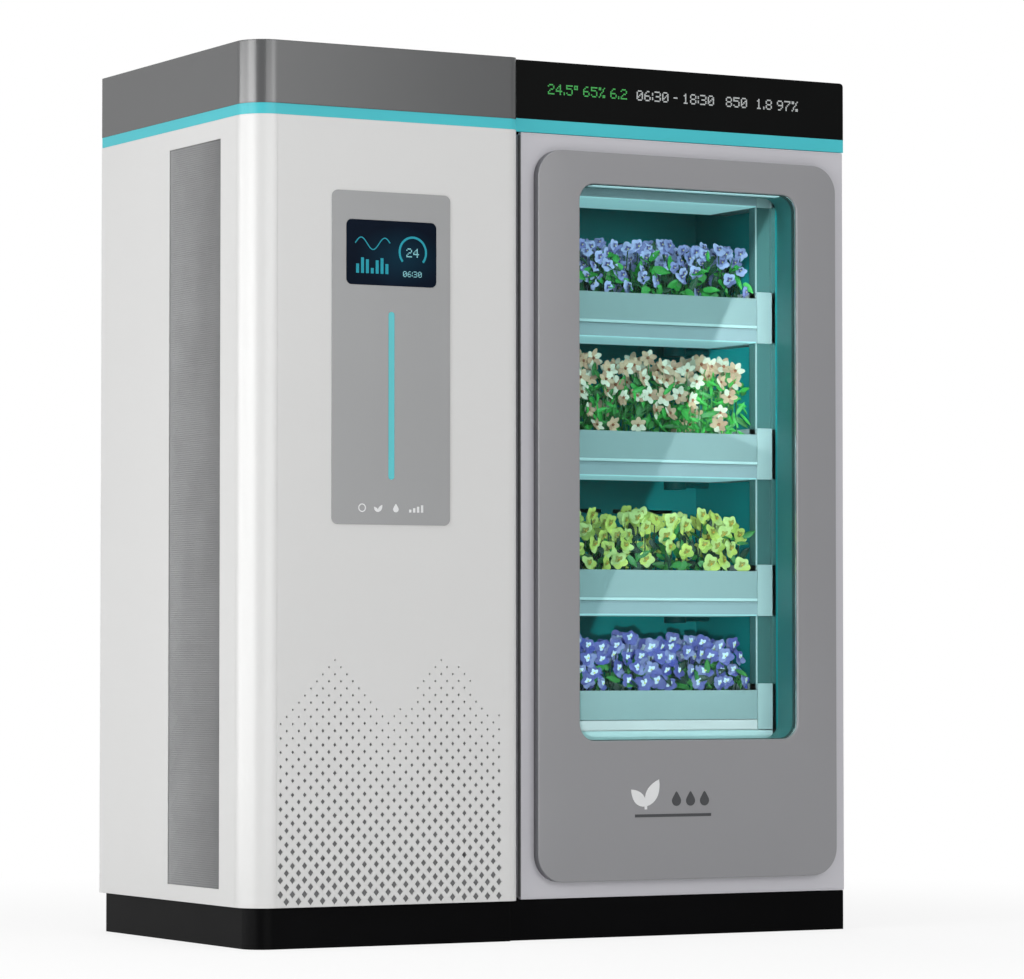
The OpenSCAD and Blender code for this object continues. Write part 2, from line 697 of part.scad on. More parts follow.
module light_housings() color("#9fd0d0") {
    x0 = chamber_cx - tray_w / 2;
    for (k = [0:3]) {
        z = light_z(k);
        lip_z = z + light_h - lip_h;
        groove_z = lip_z - groove_h;
        sideways(x0, x0 + tray_w) polygon([[tray_y + 2, z + diffuser_t], [tray_y + light_d, z + diffuser_t],
            [tray_y + light_d, z + light_h], [tray_y, z + light_h], [tray_y, lip_z],
            [tray_y + groove_d, lip_z], [tray_y + groove_d, groove_z], [tray_y + 2, groove_z]]);
    }
    box(x0, x0 + tray_w, tray_y + 2 * diffuser_t, tray_y + light_d,
        base_light_z + diffuser_t, base_light_z + base_light_h);
}
module light_diffusers() color("#e8f4f4") {
    x0 = chamber_cx - tray_w / 2;
    for (k = [0:3]) box(x0 + 1, x0 + tray_w - 1, tray_y + 4, tray_y + light_d - 4,
        light_z(k), light_z(k) + diffuser_t);
    box(x0 + 1, x0 + tray_w - 1, tray_y, tray_y + 2 * diffuser_t,
        base_light_z + 4, base_light_z + base_light_h);
}

// Trays, decks and plants, counted from the top
module tray(k) {
    top = tray_top(k);
    z0 = top - front_h(k) + slide_gap;
    difference() {
        union() {
            box(tray_x0, tray_x1, tray_y, tray_y + tray_d, z0, top);
            upright(drop_x, drain_y, z0 - spigot_len, z0 + 1, spigot_r);
        }
        box(tray_x0 + tray_wall, tray_x1 - tray_wall, tray_y + tray_wall, tray_y + tray_d - tray_wall,
            top - deck_drop, top + 1);
        box(tray_x0 + tray_ledge, tray_x1 - tray_ledge, tray_y + tray_ledge,
            tray_y + tray_d - tray_ledge, z0 + 3, top - deck_drop + 1);
        upright(drop_x, drain_y, z0 - spigot_len - 1, z0 + 4, spigot_r - 3);
    }
}
function pot_places() = [for (r = [0, 1]) for (i = [0:front_row - 1 - r])
    [chamber_cx + (i - (front_row - 1 - r) / 2) * plant_pitch, row_y[r]]];
module pot(x, y, z) translate([x, y, z]) rotate_extrude() polygon([[0, -pot_h],
    [pot_r - 6, -pot_h], [pot_r - fit_gap, 0], [pot_r + pot_rim, 0], [pot_r + pot_rim, pot_wall],
    [pot_r - pot_wall, pot_wall], [pot_r - 6 - pot_wall, pot_wall - pot_h], [0, pot_wall - pot_h]]);
module deck(k) {
    z = tray_top(k) - deck_drop;
    inset = tray_wall + fit_gap;
    difference() {
        box(tray_x0 + inset, tray_x1 - inset, tray_y + inset, tray_y + tray_d - inset, z, z + deck_t);
        for (p = pot_places()) upright(p[0], p[1], z - 1, z + deck_t + 1, pot_r);
        box(nozzle_x - nozzle_gap, nozzle_x + nozzle_gap, riser_y - nozzle_gap,
            riser_y + tray_travel + nozzle_gap, z - 1, z + deck_t + 1);
    }
    for (p = pot_places()) pot(p[0], p[1], z + deck_t);
}
module plant(x, y, z, top, turn) translate([x, y, z]) {
    rotate_extrude() polygon([[0, pot_wall - pot_h], [15, pot_wall - pot_h], [18, 4], [plant_r - 5, 18],
        [plant_r, 44], [plant_r - 3, top - 24], [plant_r - 12, top - 10], [0, top - 4]]);
    for (i = [0:2]) rotate([0, 0, turn + i * 120]) translate([13, 0, top - 22 - i * 2])
        rotate([0, 24, 0]) cylinder(r1 = 6, r2 = bloom_r, h = 16);
}
module shelf_plants(k) {
    rise = deck_drop - deck_t;
    places = pot_places();
    for (i = [0:len(places) - 1])
        plant(places[i][0], places[i][1], tray_top(k) - rise, plant_top(k) + rise, 25 * i + 30 * k);
}
module grow_tray_1() color("#82b4b6") tray(0);
module grow_tray_2() color("#82b4b6") tray(1);
module grow_tray_3() color("#82b4b6") tray(2);
module grow_tray_4() color("#82b4b6") tray(3);
module planting_deck_1() color("#dfe6e6") deck(0);
module planting_deck_2() color("#dfe6e6") deck(1);
module planting_deck_3() color("#dfe6e6") deck(2);
module planting_deck_4() color("#dfe6e6") deck(3);
module plants_1() color("#b9a5d6") shelf_plants(0);
module plants_2() color("#ecd2b0") shelf_plants(1);
module plants_3() color("#e6d23c") shelf_plants(2);
module plants_4() color("#5a55c0") shelf_plants(3);

// Water
module water_tank() color("#cfd8dc") difference() {
    box(tank_x0, tank_x1, tank_y0, tank_y1, tank_z0, tank_z1);
    box(tank_x0 + tank_wall, tank_x1 - tank_wall, tank_y0 + tank_wall, tank_y1 - tank_wall,
        tank_z0 + tank_wall, tank_z1 + 1);
}
module tank_lid() color("#5b6468") {
    difference() {
        union() {
            box(tank_x0 - lid_lap, tank_x1 + lid_lap, tank_y0 - lid_lap, tank_y1 + lid_lap,
                tank_z1, tank_z1 + lid_t);
            upright(filler_x, filler_y, tank_z1, tank_z1 + neck_h, filler_r + neck_wall);
        }
        upright(filler_x, filler_y, tank_z1 - 1, tank_z1 + neck_h + 1, filler_r);
        upright(riser_x, riser_y, tank_z1 - 1, tank_z1 + lid_t + 1, supply_r + fit_gap);
        upright(drain_x, drain_y, tank_z1 - 1, tank_z1 + lid_t + 1, drain_r + fit_gap);
    }
    upright(float_x, float_y, tank_z0 + tank_wall, tank_z1 + 1, float_rod_r);
    upright(float_x, float_y, float_z - 5, float_z, float_rod_r + 5);
}
module filler_cap() color("#3b5a9a") difference() {
    cap_r = filler_r + neck_wall + cap_wall;
    upright(filler_x, filler_y, tank_z1 + lid_t + 0.4, tank_z1 + neck_h + 6, cap_r);
    upright(filler_x, filler_y, tank_z1, tank_z1 + neck_h + 0.4, filler_r + neck_wall + run_gap);
    for (i = [0:11]) translate([filler_x, filler_y, tank_z1]) rotate([0, 0, i * 30])
        translate([cap_r, 0, 0]) cylinder(r = 2, h = neck_h + 16, $fn = 8);
}
module pump_housing() color("#23272a") {
    z0 = tank_z0 + tank_wall;
    difference() {
        union() {
            upright(pump_x, pump_y, z0, z0 + pump_h, pump_r);
            upright(riser_x, riser_y, z0 + pump_h - 30, z0 + pump_h + 14, supply_r + 3);
            box(pump_x, riser_x, pump_y - supply_r - 3, pump_y + supply_r + 3,
                z0 + pump_h - 30, z0 + pump_h);
        }
        upright(pump_x, pump_y, z0 + 10, z0 + 38, pump_r - 5);
        upright(pump_x, pump_y, z0 + 30, z0 + 60, shaft_r + run_gap);
        upright(riser_x, riser_y, z0 + pump_h - 2, z0 + pump_h + 15, supply_r + 0.1);
        for (a = [0:60:300]) translate([pump_x, pump_y, z0 + 22]) rotate([0, 0, a + 30])
            translate([pump_r - 12, -5, -5]) cube([30, 10, 10]);
    }
}
module pump_impeller() color("#c8ccd0") {
    z0 = tank_z0 + tank_wall;
    upright(pump_x, pump_y, z0 + 12, z0 + 30, 9);
    upright(pump_x, pump_y, z0 + 20, z0 + 58, shaft_r);
    upright(pump_x, pump_y, z0 + 32, z0 + 36, impeller_r);
    for (a = [0:60:300]) translate([pump_x, pump_y, z0 + 14]) rotate([0, 0, a])
        translate([6, -1.5, 0]) cube([impeller_r - 8, 3, 19]);
}
module level_float() color("#e8823a") difference() {
    upright(float_x, float_y, float_z + 0.4, float_z + float_h, float_r);
    upright(float_x, float_y, float_z - 1, float_z + float_h + 1, float_rod_r + 0.4);
}
module supply_riser() color("#e6e9ea") {
    z0 = tank_z0 + tank_wall + pump_h - 2;
    upright(riser_x, riser_y, z0, tray_top(0) + branch_rise + 14, supply_r);
    for (k = [0:3]) {
        z = tray_top(k) + branch_rise;
        along_x(riser_x, nozzle_x + 4, riser_y, z, branch_r);
        upright(nozzle_x, riser_y, z - 12, z + 4, branch_r - 1);
    }
}
function cup_z(k) = tray_top(k) - front_h(k) + slide_gap - spigot_len - cup_drop;
function pipe_z(k) = cup_z(k) + 12;
module drain_pipe() color("#4a5054") {
    difference() {
        union() {
            upright(drain_x, drain_y, tank_z1 - 60, pipe_z(0) + 18, drain_r);
            for (k = [0:3]) {
                along_x(drop_x, drain_x, drain_y, pipe_z(k), branch_r + 2);
                upright(drop_x, drain_y, cup_z(k), cup_z(k) + cup_h, cup_r);
            }
        }
        for (k = [0:3]) upright(drop_x, drain_y, cup_z(k) + 3, cup_z(k) + cup_h + 1, cup_r - 3);
    }
}

// Door, hung at its right edge
module hinge_brackets() color("#8d8f92") for (z = [plinth_h, band_z - hinge_plate_t]) difference() {
    box(door_x1 - 1 - hinge_plate_w, door_x1 - 1, grow_setback + 5, mouth_y - fit_gap, z, z + hinge_plate_t);
    upright(hinge_x, hinge_y, z - 1, z + hinge_plate_t + 1, hinge_pin_r + run_gap);
}
module hinge_pins() color("#77797c") {
    x0 = door_x1 - skin - hinge_block;
    for (end = [0, 1]) {
        z0 = end == 0 ? door_z0 + skin : door_z1 - skin - hinge_block_h;
        box(x0, door_x1 - skin, door_y0 + skin, door_y1 - back_plate_t, z0, z0 + hinge_block_h);
        upright(hinge_x, hinge_y, end == 0 ? plinth_h + fit_gap : door_z1 - skin - 2,
            end == 0 ? door_z0 + skin + 2 : band_z - fit_gap, hinge_pin_r);
    }
}
module door_frame() color("#d4d4d8") difference() {
    box(door_x0, door_x1, door_y0, door_y1, door_z0, door_z1);
    box(door_x0 + skin, door_x1 - skin, door_y0 + skin, door_y1 + 1, door_z0 + skin, door_z1 - skin);
    facing(door_y0 - 1, door_y0 + skin + 1) polygon(window_outline(reveal_t));
    for (z = [door_z0 - 1, door_z1 - skin - 1])
        upright(hinge_x, hinge_y, z, z + skin + 2, hinge_pin_r + fit_gap);
}
module door_inner_panel() color("#0d2f30") {
    facing(door_y1 - back_plate_t, door_y1) difference() {
        polygon(oblong(door_x0 + skin, door_x1 - skin, door_z0 + skin, door_z1 - skin));
        polygon(window_outline(0));
    }
    facing(door_y0, door_y1 - back_plate_t + 1) difference() {
        polygon(window_outline(reveal_t));
        polygon(window_outline(0));
    }
}
function bezel_edge(o) = rounded(bezel_x0 + o, bezel_x1 - o, bezel_z0 + o, bezel_z1 - o, bezel_r - o, 14);
module door_bezel() color("#8b8c8f") difference() {
    facing(bezel_y, door_y0) difference() {
        polygon(bezel_edge(0));
        polygon(window_outline(0));
    }
    facing(bezel_y + bezel_wall, door_y0 + 1) difference() {
        polygon(bezel_edge(bezel_wall));
        polygon(window_outline(bezel_wall));
    }
}
module door_glass() color("#79b8ba", 0.4) facing(glass_y, glass_y + glass_t) polygon(window_outline(-0.2));
module door_gasket() color("#2b2d30") facing(door_y1, door_y1 + seal_gap - 0.4) difference() {
    polygon(oblong(chamber_x0 - 30, chamber_x1 + 30, chamber_z0 - 30, chamber_z1 + 22));
    polygon(oblong(chamber_x0 - 14, chamber_x1 + 14, chamber_z0 - 14, chamber_z1 + 6));
}

at_origin() service_plinth();
at_origin() grow_plinth();
at_origin() corner_post();
at_origin() edge_post();
at_origin() service_left_panel();
at_origin() service_front_panel();
at_origin() service_right_panel();
at_origin() service_rear_panel();
at_origin() service_cap();
at_origin() light_bands();
at_origin() intake_grille();
at_origin() air_filter();
at_origin() control_fascia();
at_origin() display_screen();
at_origin() status_light();
at_origin() control_board();
at_origin() power_supply();
at_origin() mains_inlet();
at_origin() rocker_switch();
at_origin() cooling_coil();
at_origin() compressor();
at_origin() fan_frame();
at_origin() fan_rotor();
at_origin() grow_header();
at_origin() grow_right_panel();
at_origin() grow_rear_panel();
at_origin() rear_screws();
at_origin() mouth_frame();
at_origin() chamber_liner();
at_origin() rack_sides();
at_origin() light_housings();
at_origin() light_diffusers();
at_origin() water_tank();
at_origin() tank_lid();
at_origin() filler_cap();
at_origin() pump_housing();
at_origin() pump_impeller();
at_origin() level_float();
at_origin() supply_riser();
at_origin() drain_pipe();
at_origin() grow_tray_1();
at_origin() grow_tray_2();
at_origin() grow_tray_3();
at_origin() grow_tray_4();
at_origin() planting_deck_1();
at_origin() planting_deck_2();
at_origin() planting_deck_3();
at_origin() planting_deck_4();
at_origin() plants_1();
at_origin() plants_2();
at_origin() plants_3();
at_origin() plants_4();
at_origin() hinge_brackets();
at_origin() hinge_pins();
at_origin() door_frame();
at_origin() door_inner_panel();
at_origin() door_bezel();
at_origin() door_glass();
at_origin() door_gasket();
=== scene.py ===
import json
import math
import random

import bmesh
import bpy
from mathutils import Matrix, Vector

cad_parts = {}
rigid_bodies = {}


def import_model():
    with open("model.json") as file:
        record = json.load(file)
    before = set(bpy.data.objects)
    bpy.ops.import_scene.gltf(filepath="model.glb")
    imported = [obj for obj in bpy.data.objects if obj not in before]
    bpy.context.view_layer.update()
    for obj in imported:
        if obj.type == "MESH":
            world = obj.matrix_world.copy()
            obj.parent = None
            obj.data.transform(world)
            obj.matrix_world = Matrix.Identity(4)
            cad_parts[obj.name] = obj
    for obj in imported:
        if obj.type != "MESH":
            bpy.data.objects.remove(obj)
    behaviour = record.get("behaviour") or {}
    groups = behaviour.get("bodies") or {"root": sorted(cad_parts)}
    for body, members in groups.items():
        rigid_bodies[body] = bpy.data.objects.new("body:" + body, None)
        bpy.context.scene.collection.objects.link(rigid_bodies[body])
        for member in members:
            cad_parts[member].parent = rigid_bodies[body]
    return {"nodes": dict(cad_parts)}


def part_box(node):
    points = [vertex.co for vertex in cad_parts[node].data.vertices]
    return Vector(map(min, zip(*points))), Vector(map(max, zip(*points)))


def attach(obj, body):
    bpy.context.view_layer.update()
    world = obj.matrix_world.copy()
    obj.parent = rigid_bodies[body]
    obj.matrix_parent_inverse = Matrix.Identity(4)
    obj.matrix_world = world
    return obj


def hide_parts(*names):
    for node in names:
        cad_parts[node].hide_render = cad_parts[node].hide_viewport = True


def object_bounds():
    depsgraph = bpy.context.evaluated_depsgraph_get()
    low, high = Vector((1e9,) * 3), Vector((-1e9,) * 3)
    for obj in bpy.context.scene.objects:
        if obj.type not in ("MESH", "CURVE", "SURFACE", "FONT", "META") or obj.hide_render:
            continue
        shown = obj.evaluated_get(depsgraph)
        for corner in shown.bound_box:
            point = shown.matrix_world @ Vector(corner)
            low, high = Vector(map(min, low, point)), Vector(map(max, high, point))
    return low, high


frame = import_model()
cad_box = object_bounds()
nodes = frame["nodes"]


def lin(r, g, b):
    """A colour as it is seen, 0 to 255, as the shader wants it."""
    out = []
    for c in (r, g, b):
        c = c / 255
        out.append(c / 12.92 if c <= 0.04045 else ((c + 0.055) / 1.055) ** 2.4)
    return tuple(out)


def corners(node):
    """A node's lowest and highest corner."""
    return tuple(Vector(v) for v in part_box(node))


# Materials

def material(name, rgb, rough=0.5, metal=0.0, var=0.03, scale=6.0, grain=900.0, bump=0.05, edge=0.0015,
             glow=None, glow_strength=0.0, stretch=(1, 1, 1), rough_var=0.08, subsurface=0.0, spec=0.5):
    """Blotches vary colour and roughness; a fine grain and soft edges shape the normal."""
    m = bpy.data.materials.new(name)
    m.use_nodes = True
    nt = m.node_tree
    nd, ln = nt.nodes, nt.links
    bsdf = nd["Principled BSDF"]
    coord = nd.new("ShaderNodeTexCoord")
    mapping = nd.new("ShaderNodeMapping")
    mapping.inputs["Scale"].default_value = stretch
    ln.new(coord.outputs["Object"], mapping.inputs["Vector"])
    blotch = nd.new("ShaderNodeTexNoise")
    blotch.inputs["Scale"].default_value = scale
    blotch.inputs["Detail"].default_value = 4
    ln.new(mapping.outputs["Vector"], blotch.inputs["Vector"])
    ramp = nd.new("ShaderNodeValToRGB")
    ramp.color_ramp.elements[0].position = 0.3
    ramp.color_ramp.elements[1].position = 0.7
    ramp.color_ramp.elements[0].color = (*[c * (1 - var) for c in rgb], 1)
    ramp.color_ramp.elements[1].color = (*[min(1, c * (1 + var)) for c in rgb], 1)
    ln.new(blotch.outputs["Fac"], ramp.inputs["Fac"])
    ln.new(ramp.outputs["Color"], bsdf.inputs["Base Color"])
    fine = nd.new("ShaderNodeTexNoise")
    fine.inputs["Scale"].default_value = grain
    fine.inputs["Detail"].default_value = 2
    ln.new(mapping.outputs["Vector"], fine.inputs["Vector"])
    spread = nd.new("ShaderNodeMapRange")
    spread.inputs["To Min"].default_value = max(0.02, rough - rough_var)
    spread.inputs["To Max"].default_value = min(1.0, rough + rough_var)
    ln.new(blotch.outputs["Fac"], spread.inputs["Value"])
    ln.new(spread.outputs["Result"], bsdf.inputs["Roughness"])
    relief = nd.new("ShaderNodeBump")
    relief.inputs["Strength"].default_value = bump
    relief.inputs["Distance"].default_value = 0.001
    ln.new(fine.outputs["Fac"], relief.inputs["Height"])
    if edge:
        bevel = nd.new("ShaderNodeBevel")
        bevel.samples = 4
        bevel.inputs["Radius"].default_value = edge
        ln.new(bevel.outputs["Normal"], relief.inputs["Normal"])
    ln.new(relief.outputs["Normal"], bsdf.inputs["Normal"])
    bsdf.inputs["Metallic"].default_value = metal
    bsdf.inputs["Specular IOR Level"].default_value = spec
    bsdf.inputs["Subsurface Weight"].default_value = subsurface
    if glow:
        bsdf.inputs["Emission Color"].default_value = (*glow, 1)
        bsdf.inputs["Emission Strength"].default_value = glow_strength
    return m


def shade_across(m, axis, start, end, far):
    """Paints shade into a material's colour: it falls off along one axis, to a share far of itself."""
    nd, ln = m.node_tree.nodes, m.node_tree.links
    base = nd["Principled BSDF"].inputs["Base Color"]
    coord = nd.new("ShaderNodeTexCoord")
    split = nd.new("ShaderNodeSeparateXYZ")
    ln.new(coord.outputs["Object"], split.inputs["Vector"])
    fall = nd.new("ShaderNodeMapRange")
    fall.inputs["From Min"].default_value = start
    fall.inputs["From Max"].default_value = end
    fall.inputs["To Min"].default_value = 1.0
    fall.inputs["To Max"].default_value = far
    ln.new(split.outputs[axis], fall.inputs["Value"])
    times = nd.new("ShaderNodeVectorMath")
    times.operation = "SCALE"
    ln.new(base.links[0].from_socket, times.inputs["Vector"])
    ln.new(fall.outputs["Result"], times.inputs["Scale"])
    ln.new(times.outputs["Vector"], base)


GLASS_IOR = 1.12


def glass(name, tint):
    """Clear tinted glass with faint smears."""
    m = bpy.data.materials.new(name)
    m.use_nodes = True
    nd, ln = m.node_tree.nodes, m.node_tree.links
    bsdf = nd["Principled BSDF"]
    bsdf.inputs["Base Color"].default_value = (*tint, 1)
    bsdf.inputs["Transmission Weight"].default_value = 1.0
    bsdf.inputs["IOR"].default_value = GLASS_IOR
    coord = nd.new("ShaderNodeTexCoord")
    smear = nd.new("ShaderNodeTexNoise")
    smear.inputs["Scale"].default_value = 2.5
    ln.new(coord.outputs["Object"], smear.inputs["Vector"])
    spread = nd.new("ShaderNodeMapRange")
    spread.inputs["To Min"].default_value = 0.0
    spread.inputs["To Max"].default_value = 0.02
    ln.new(smear.outputs["Fac"], spread.inputs["Value"])
    ln.new(spread.outputs["Result"], bsdf.inputs["Roughness"])
    return m


WHITE = material("white_powder_coat", lin(226, 226, 225), 0.28, var=0.006, scale=2.2, grain=1500, bump=0.04,
                 edge=0.002, spec=0.25, rough_var=0.01)
DOOR_WHITE = material("door_powder_coat", lin(204, 203, 209), 0.42, var=0.012, scale=2.2, grain=1500,
                      bump=0.04)
INNER_WHITE = material("inner_powder_coat", lin(205, 206, 206), 0.5, var=0.02, scale=3, grain=1200, bump=0.05)
CAP = material("cap_satin_grey", lin(78, 79, 80), 0.2, var=0.03, scale=2.5, grain=1800, bump=0.02, edge=0.003,
               rough_var=0.03)
HEADER = material("header_black", lin(9, 10, 10), 0.34, var=0.15, scale=5, grain=1600, bump=0.03, edge=0.002,
                  spec=0.04)
PLINTH = material("plinth_black", lin(4, 4, 5), 0.38, var=0.2, scale=7, grain=900, bump=0.08, edge=0.003,
                  spec=0.03)
CYAN = material("cyan_band", lin(76, 192, 202), 0.3, var=0.03, scale=4, grain=700, bump=0.01,
                glow=lin(80, 205, 216), glow_strength=0.08, edge=0.001, spec=0.12)
MESH = material("mesh_grey", lin(162, 163, 164), 0.5, metal=0.1, var=0.06, scale=12, grain=1400, bump=0.08,
                edge=0)
FILTER = material("filter_media", lin(112, 114, 116), 0.9, var=0.12, scale=30, grain=2400, bump=0.5, edge=0)
FASCIA = material("fascia_grey", lin(156, 157, 158), 0.38, var=0.02, scale=3, grain=2000, bump=0.05,
                  edge=0.001)
BEZEL = material("bezel_grey", lin(144, 144, 147), 0.34, var=0.02, scale=1.6, grain=1700, bump=0.04, edge=0)
BEZEL_SIDE = material("bezel_side", lin(104, 104, 109), 0.45, var=0.03, scale=3, grain=1700, bump=0.04,
                      edge=0)
DUST_CLOTH = material("dust_cloth", lin(116, 117, 118), 0.9, var=0.06, scale=40, grain=2600, bump=0.4, edge=0)
DARK = material("dark_frame", lin(52, 54, 57), 0.45, var=0.1, scale=8, grain=1200, bump=0.06)
LINER = material("liner_teal", lin(16, 142, 144), 0.45, var=0.12, scale=3, grain=900, bump=0.06, spec=0.2)
REVEAL = material("reveal_teal", lin(52, 113, 113), 0.35, var=0.08, scale=4, grain=900, bump=0.04, spec=0.3)
TRAY = material("tray_teal", lin(154, 160, 162), 0.36, var=0.03, scale=5, grain=1100, bump=0.04, spec=0.3)
RACK = material("rack_bracket", lin(176, 180, 182), 0.4, var=0.04, scale=6, grain=1300, bump=0.05, spec=0.3)
POST = material("rack_post", lin(66, 100, 99), 0.4, var=0.05, scale=6, grain=1300, bump=0.05, spec=0.3)
HOUSING = material("light_housing", lin(158, 162, 168), 0.36, var=0.03, scale=6, grain=1300, bump=0.04,
                   spec=0.3)
DIFFUSER = material("light_diffuser", lin(122, 138, 140), 0.55, var=0.02, scale=8, grain=600, bump=0.02,
                    glow=lin(160, 198, 202), glow_strength=0.75, edge=0)
BASE_LAMP = material("base_lamp", lin(204, 188, 190), 0.5, var=0.02, scale=8, grain=600, bump=0.02,
                     glow=lin(245, 232, 232), glow_strength=0.12, edge=0)
# Partly painted highlight: the rounded bead is real, and its pale colour paints the bright line under each
# tray. The same colour paints light onto the skirt below the base lamp.
BEAD_PAINTED_HIGHLIGHT = material("bead_painted_highlight", lin(204, 210, 212), 0.35, var=0.02, scale=9, grain=700, bump=0.02, spec=0.3)
# Painted light: the pale trim in the window's top reveal glows, though no lamp is in it.
TRIM_PAINTED_GLOW = material("trim_painted_glow", lin(205, 214, 218), 0.4, var=0.02, scale=9, grain=700, bump=0.02,
                glow=lin(214, 216, 222), glow_strength=0.3, edge=0)
SEAL_TEAL = material("seal_teal", lin(20, 50, 48), 0.6, var=0.1, scale=10, grain=900, bump=0.08, edge=0)
DECK = material("deck_plastic", lin(196, 214, 214), 0.45, var=0.04, scale=9, grain=1000, bump=0.06)
BLACK = material("black_plastic", lin(30, 31, 33), 0.5, var=0.12, scale=12, grain=1500, bump=0.12)
TANK = material("tank_plastic", lin(206, 214, 218), 0.35, var=0.03, scale=4, grain=500, bump=0.05,
                subsurface=0.1)
PIPE = material("pipe_plastic", lin(224, 228, 228), 0.35, var=0.03, scale=9, grain=700, bump=0.03)
STEEL = material("zinc_steel", lin(168, 170, 173), 0.34, metal=1.0, var=0.08, scale=20, grain=1400, bump=0.06,
                 stretch=(1, 1, 0.08))
FIN = material("fin_aluminium", lin(178, 180, 182), 0.38, metal=1.0, var=0.06, scale=18, grain=900, bump=0.08)
BOARD = material("board_green", lin(24, 92, 52), 0.45, var=0.2, scale=60, grain=500, bump=0.3)
RUBBER = material("seal_rubber", lin(38, 39, 41), 0.72, var=0.12, scale=14, grain=1800, bump=0.2)
GRIP = material("grip_grey", lin(112, 113, 115), 0.7, var=0.08, scale=14, grain=1800, bump=0.2)
BLUE = material("cap_blue", lin(48, 82, 150), 0.32, var=0.06, scale=12, grain=900, bump=0.06)
ORANGE = material("float_orange", lin(220, 120, 50), 0.45, var=0.06, scale=14, grain=900, bump=0.08)
RED = material("rocker_red", lin(160, 34, 34), 0.28, var=0.06, scale=20, grain=900, bump=0.03)
GLASS = glass("window_glass", (0.68, 0.94, 0.94))
INK_DARK = material("ink_dark", lin(44, 46, 50), 0.5, var=0.05, scale=30, grain=1500, bump=0.02, edge=0)
INK_WHITE = material("ink_white", lin(232, 233, 234), 0.45, var=0.02, scale=30, grain=1500, bump=0.02, edge=0)
LED_GREEN = material("led_green", lin(46, 146, 64), 0.4, var=0.1, scale=80, grain=900, bump=0.0,
                     glow=lin(54, 205, 84), glow_strength=0.2, edge=0)
LED_WHITE = material("led_white", lin(186, 190, 190), 0.4, var=0.06, scale=80, grain=900, bump=0.0,
                     glow=lin(226, 230, 230), glow_strength=0.1, edge=0)
STATUS = material("status_lens", lin(84, 196, 204), 0.25, var=0.03, scale=10, grain=600, bump=0.0,
                  glow=lin(60, 195, 204), glow_strength=0.04, edge=0)
TEAL_INK = material("screen_teal", lin(30, 130, 146), 0.3, var=0.1, scale=40, grain=900, bump=0.0,
                    glow=lin(40, 150, 166), glow_strength=0.35, edge=0, spec=0.1)
PALE_INK = material("screen_pale", lin(130, 190, 198), 0.3, var=0.05, scale=40, grain=900, bump=0.0,
                    glow=lin(140, 204, 212), glow_strength=0.3, edge=0, spec=0.1)


def screen_material():
    """Dark navy with a soft teal glow a little right of the middle."""
    m = material("screen_navy", lin(12, 22, 36), 0.2, var=0.2, scale=9, grain=400, bump=0.0, edge=0,
                 spec=0.02)
    nd, ln = m.node_tree.nodes, m.node_tree.links
    bsdf = nd["Principled BSDF"]
    coord = nd.new("ShaderNodeTexCoord")
    place = nd.new("ShaderNodeMapping")
    lo, hi = corners("display_screen")
    mid = (lo + hi) / 2
    glow_w, glow_h = 0.1, 0.062
    place.inputs["Location"].default_value = (-(mid.x + 0.02) / glow_w, 0, -(mid.z - 0.006) / glow_h)
    place.inputs["Scale"].default_value = (1 / glow_w, 0, 1 / glow_h)
    ln.new(coord.outputs["Object"], place.inputs["Vector"])
    ball = nd.new("ShaderNodeTexGradient")
    ball.gradient_type = "SPHERICAL"
    ln.new(place.outputs["Vector"], ball.inputs["Vector"])
    ramp = nd.new("ShaderNodeValToRGB")
    ramp.color_ramp.elements[0].color = (*lin(6, 12, 24), 1)
    ramp.color_ramp.elements[1].color = (*lin(18, 84, 106), 1)
    ramp.color_ramp.elements[1].position = 0.9
    ln.new(ball.outputs["Color"], ramp.inputs["Fac"])
    ln.new(ramp.outputs["Color"], bsdf.inputs["Emission Color"])
    bsdf.inputs["Emission Strength"].default_value = 0.2
    return m


SCREEN = screen_material()

LOOK = {
    "service_plinth": PLINTH, "grow_plinth": PLINTH, "corner_post": WHITE, "edge_post": WHITE,
    "service_left_panel": WHITE, "service_front_panel": WHITE, "service_right_panel": INNER_WHITE,
    "service_rear_panel": INNER_WHITE, "service_cap": CAP, "light_bands": CYAN, "intake_grille": MESH,
    "air_filter": FILTER, "control_fascia": FASCIA, "display_screen": SCREEN, "status_light": STATUS,
    "control_board": BOARD, "power_supply": FIN, "mains_inlet": BLACK, "rocker_switch": RED,
    "cooling_coil": FIN, "compressor": BLACK, "fan_frame": BLACK, "fan_rotor": BLACK,
    "grow_header": HEADER, "grow_right_panel": DOOR_WHITE, "grow_rear_panel": INNER_WHITE,
    "rear_screws": STEEL, "mouth_frame": DARK, "chamber_liner": LINER, "rack_sides": POST,
    "light_housings": HOUSING, "light_diffusers": DIFFUSER, "water_tank": TANK, "tank_lid": BLACK,
    "filler_cap": BLUE, "pump_housing": BLACK, "pump_impeller": PIPE, "level_float": ORANGE,
    "supply_riser": PIPE, "drain_pipe": LINER, "hinge_brackets": STEEL, "hinge_pins": STEEL,
    "door_frame": DOOR_WHITE, "door_inner_panel": REVEAL, "door_bezel": BEZEL, "door_glass": GLASS,
    "door_gasket": RUBBER,
}
for k in range(1, 5):
    LOOK[f"grow_tray_{k}"] = TRAY
    LOOK[f"planting_deck_{k}"] = DECK
for name, m in LOOK.items():
    obj = nodes[name]
    obj.data.materials.clear()
    obj.data.materials.append(m)
nodes["door_glass"].visible_shadow = False
# Painted shade: the intake mesh's colour darkens from its rear edge to its front edge, to 0.55 of itself.
MESH_PAINTED_SHADE = 0.55
grille_lo, grille_hi = corners("intake_grille")
shade_across(MESH, "Y", grille_hi.y, grille_lo.y, MESH_PAINTED_SHADE)


# Mesh helpers

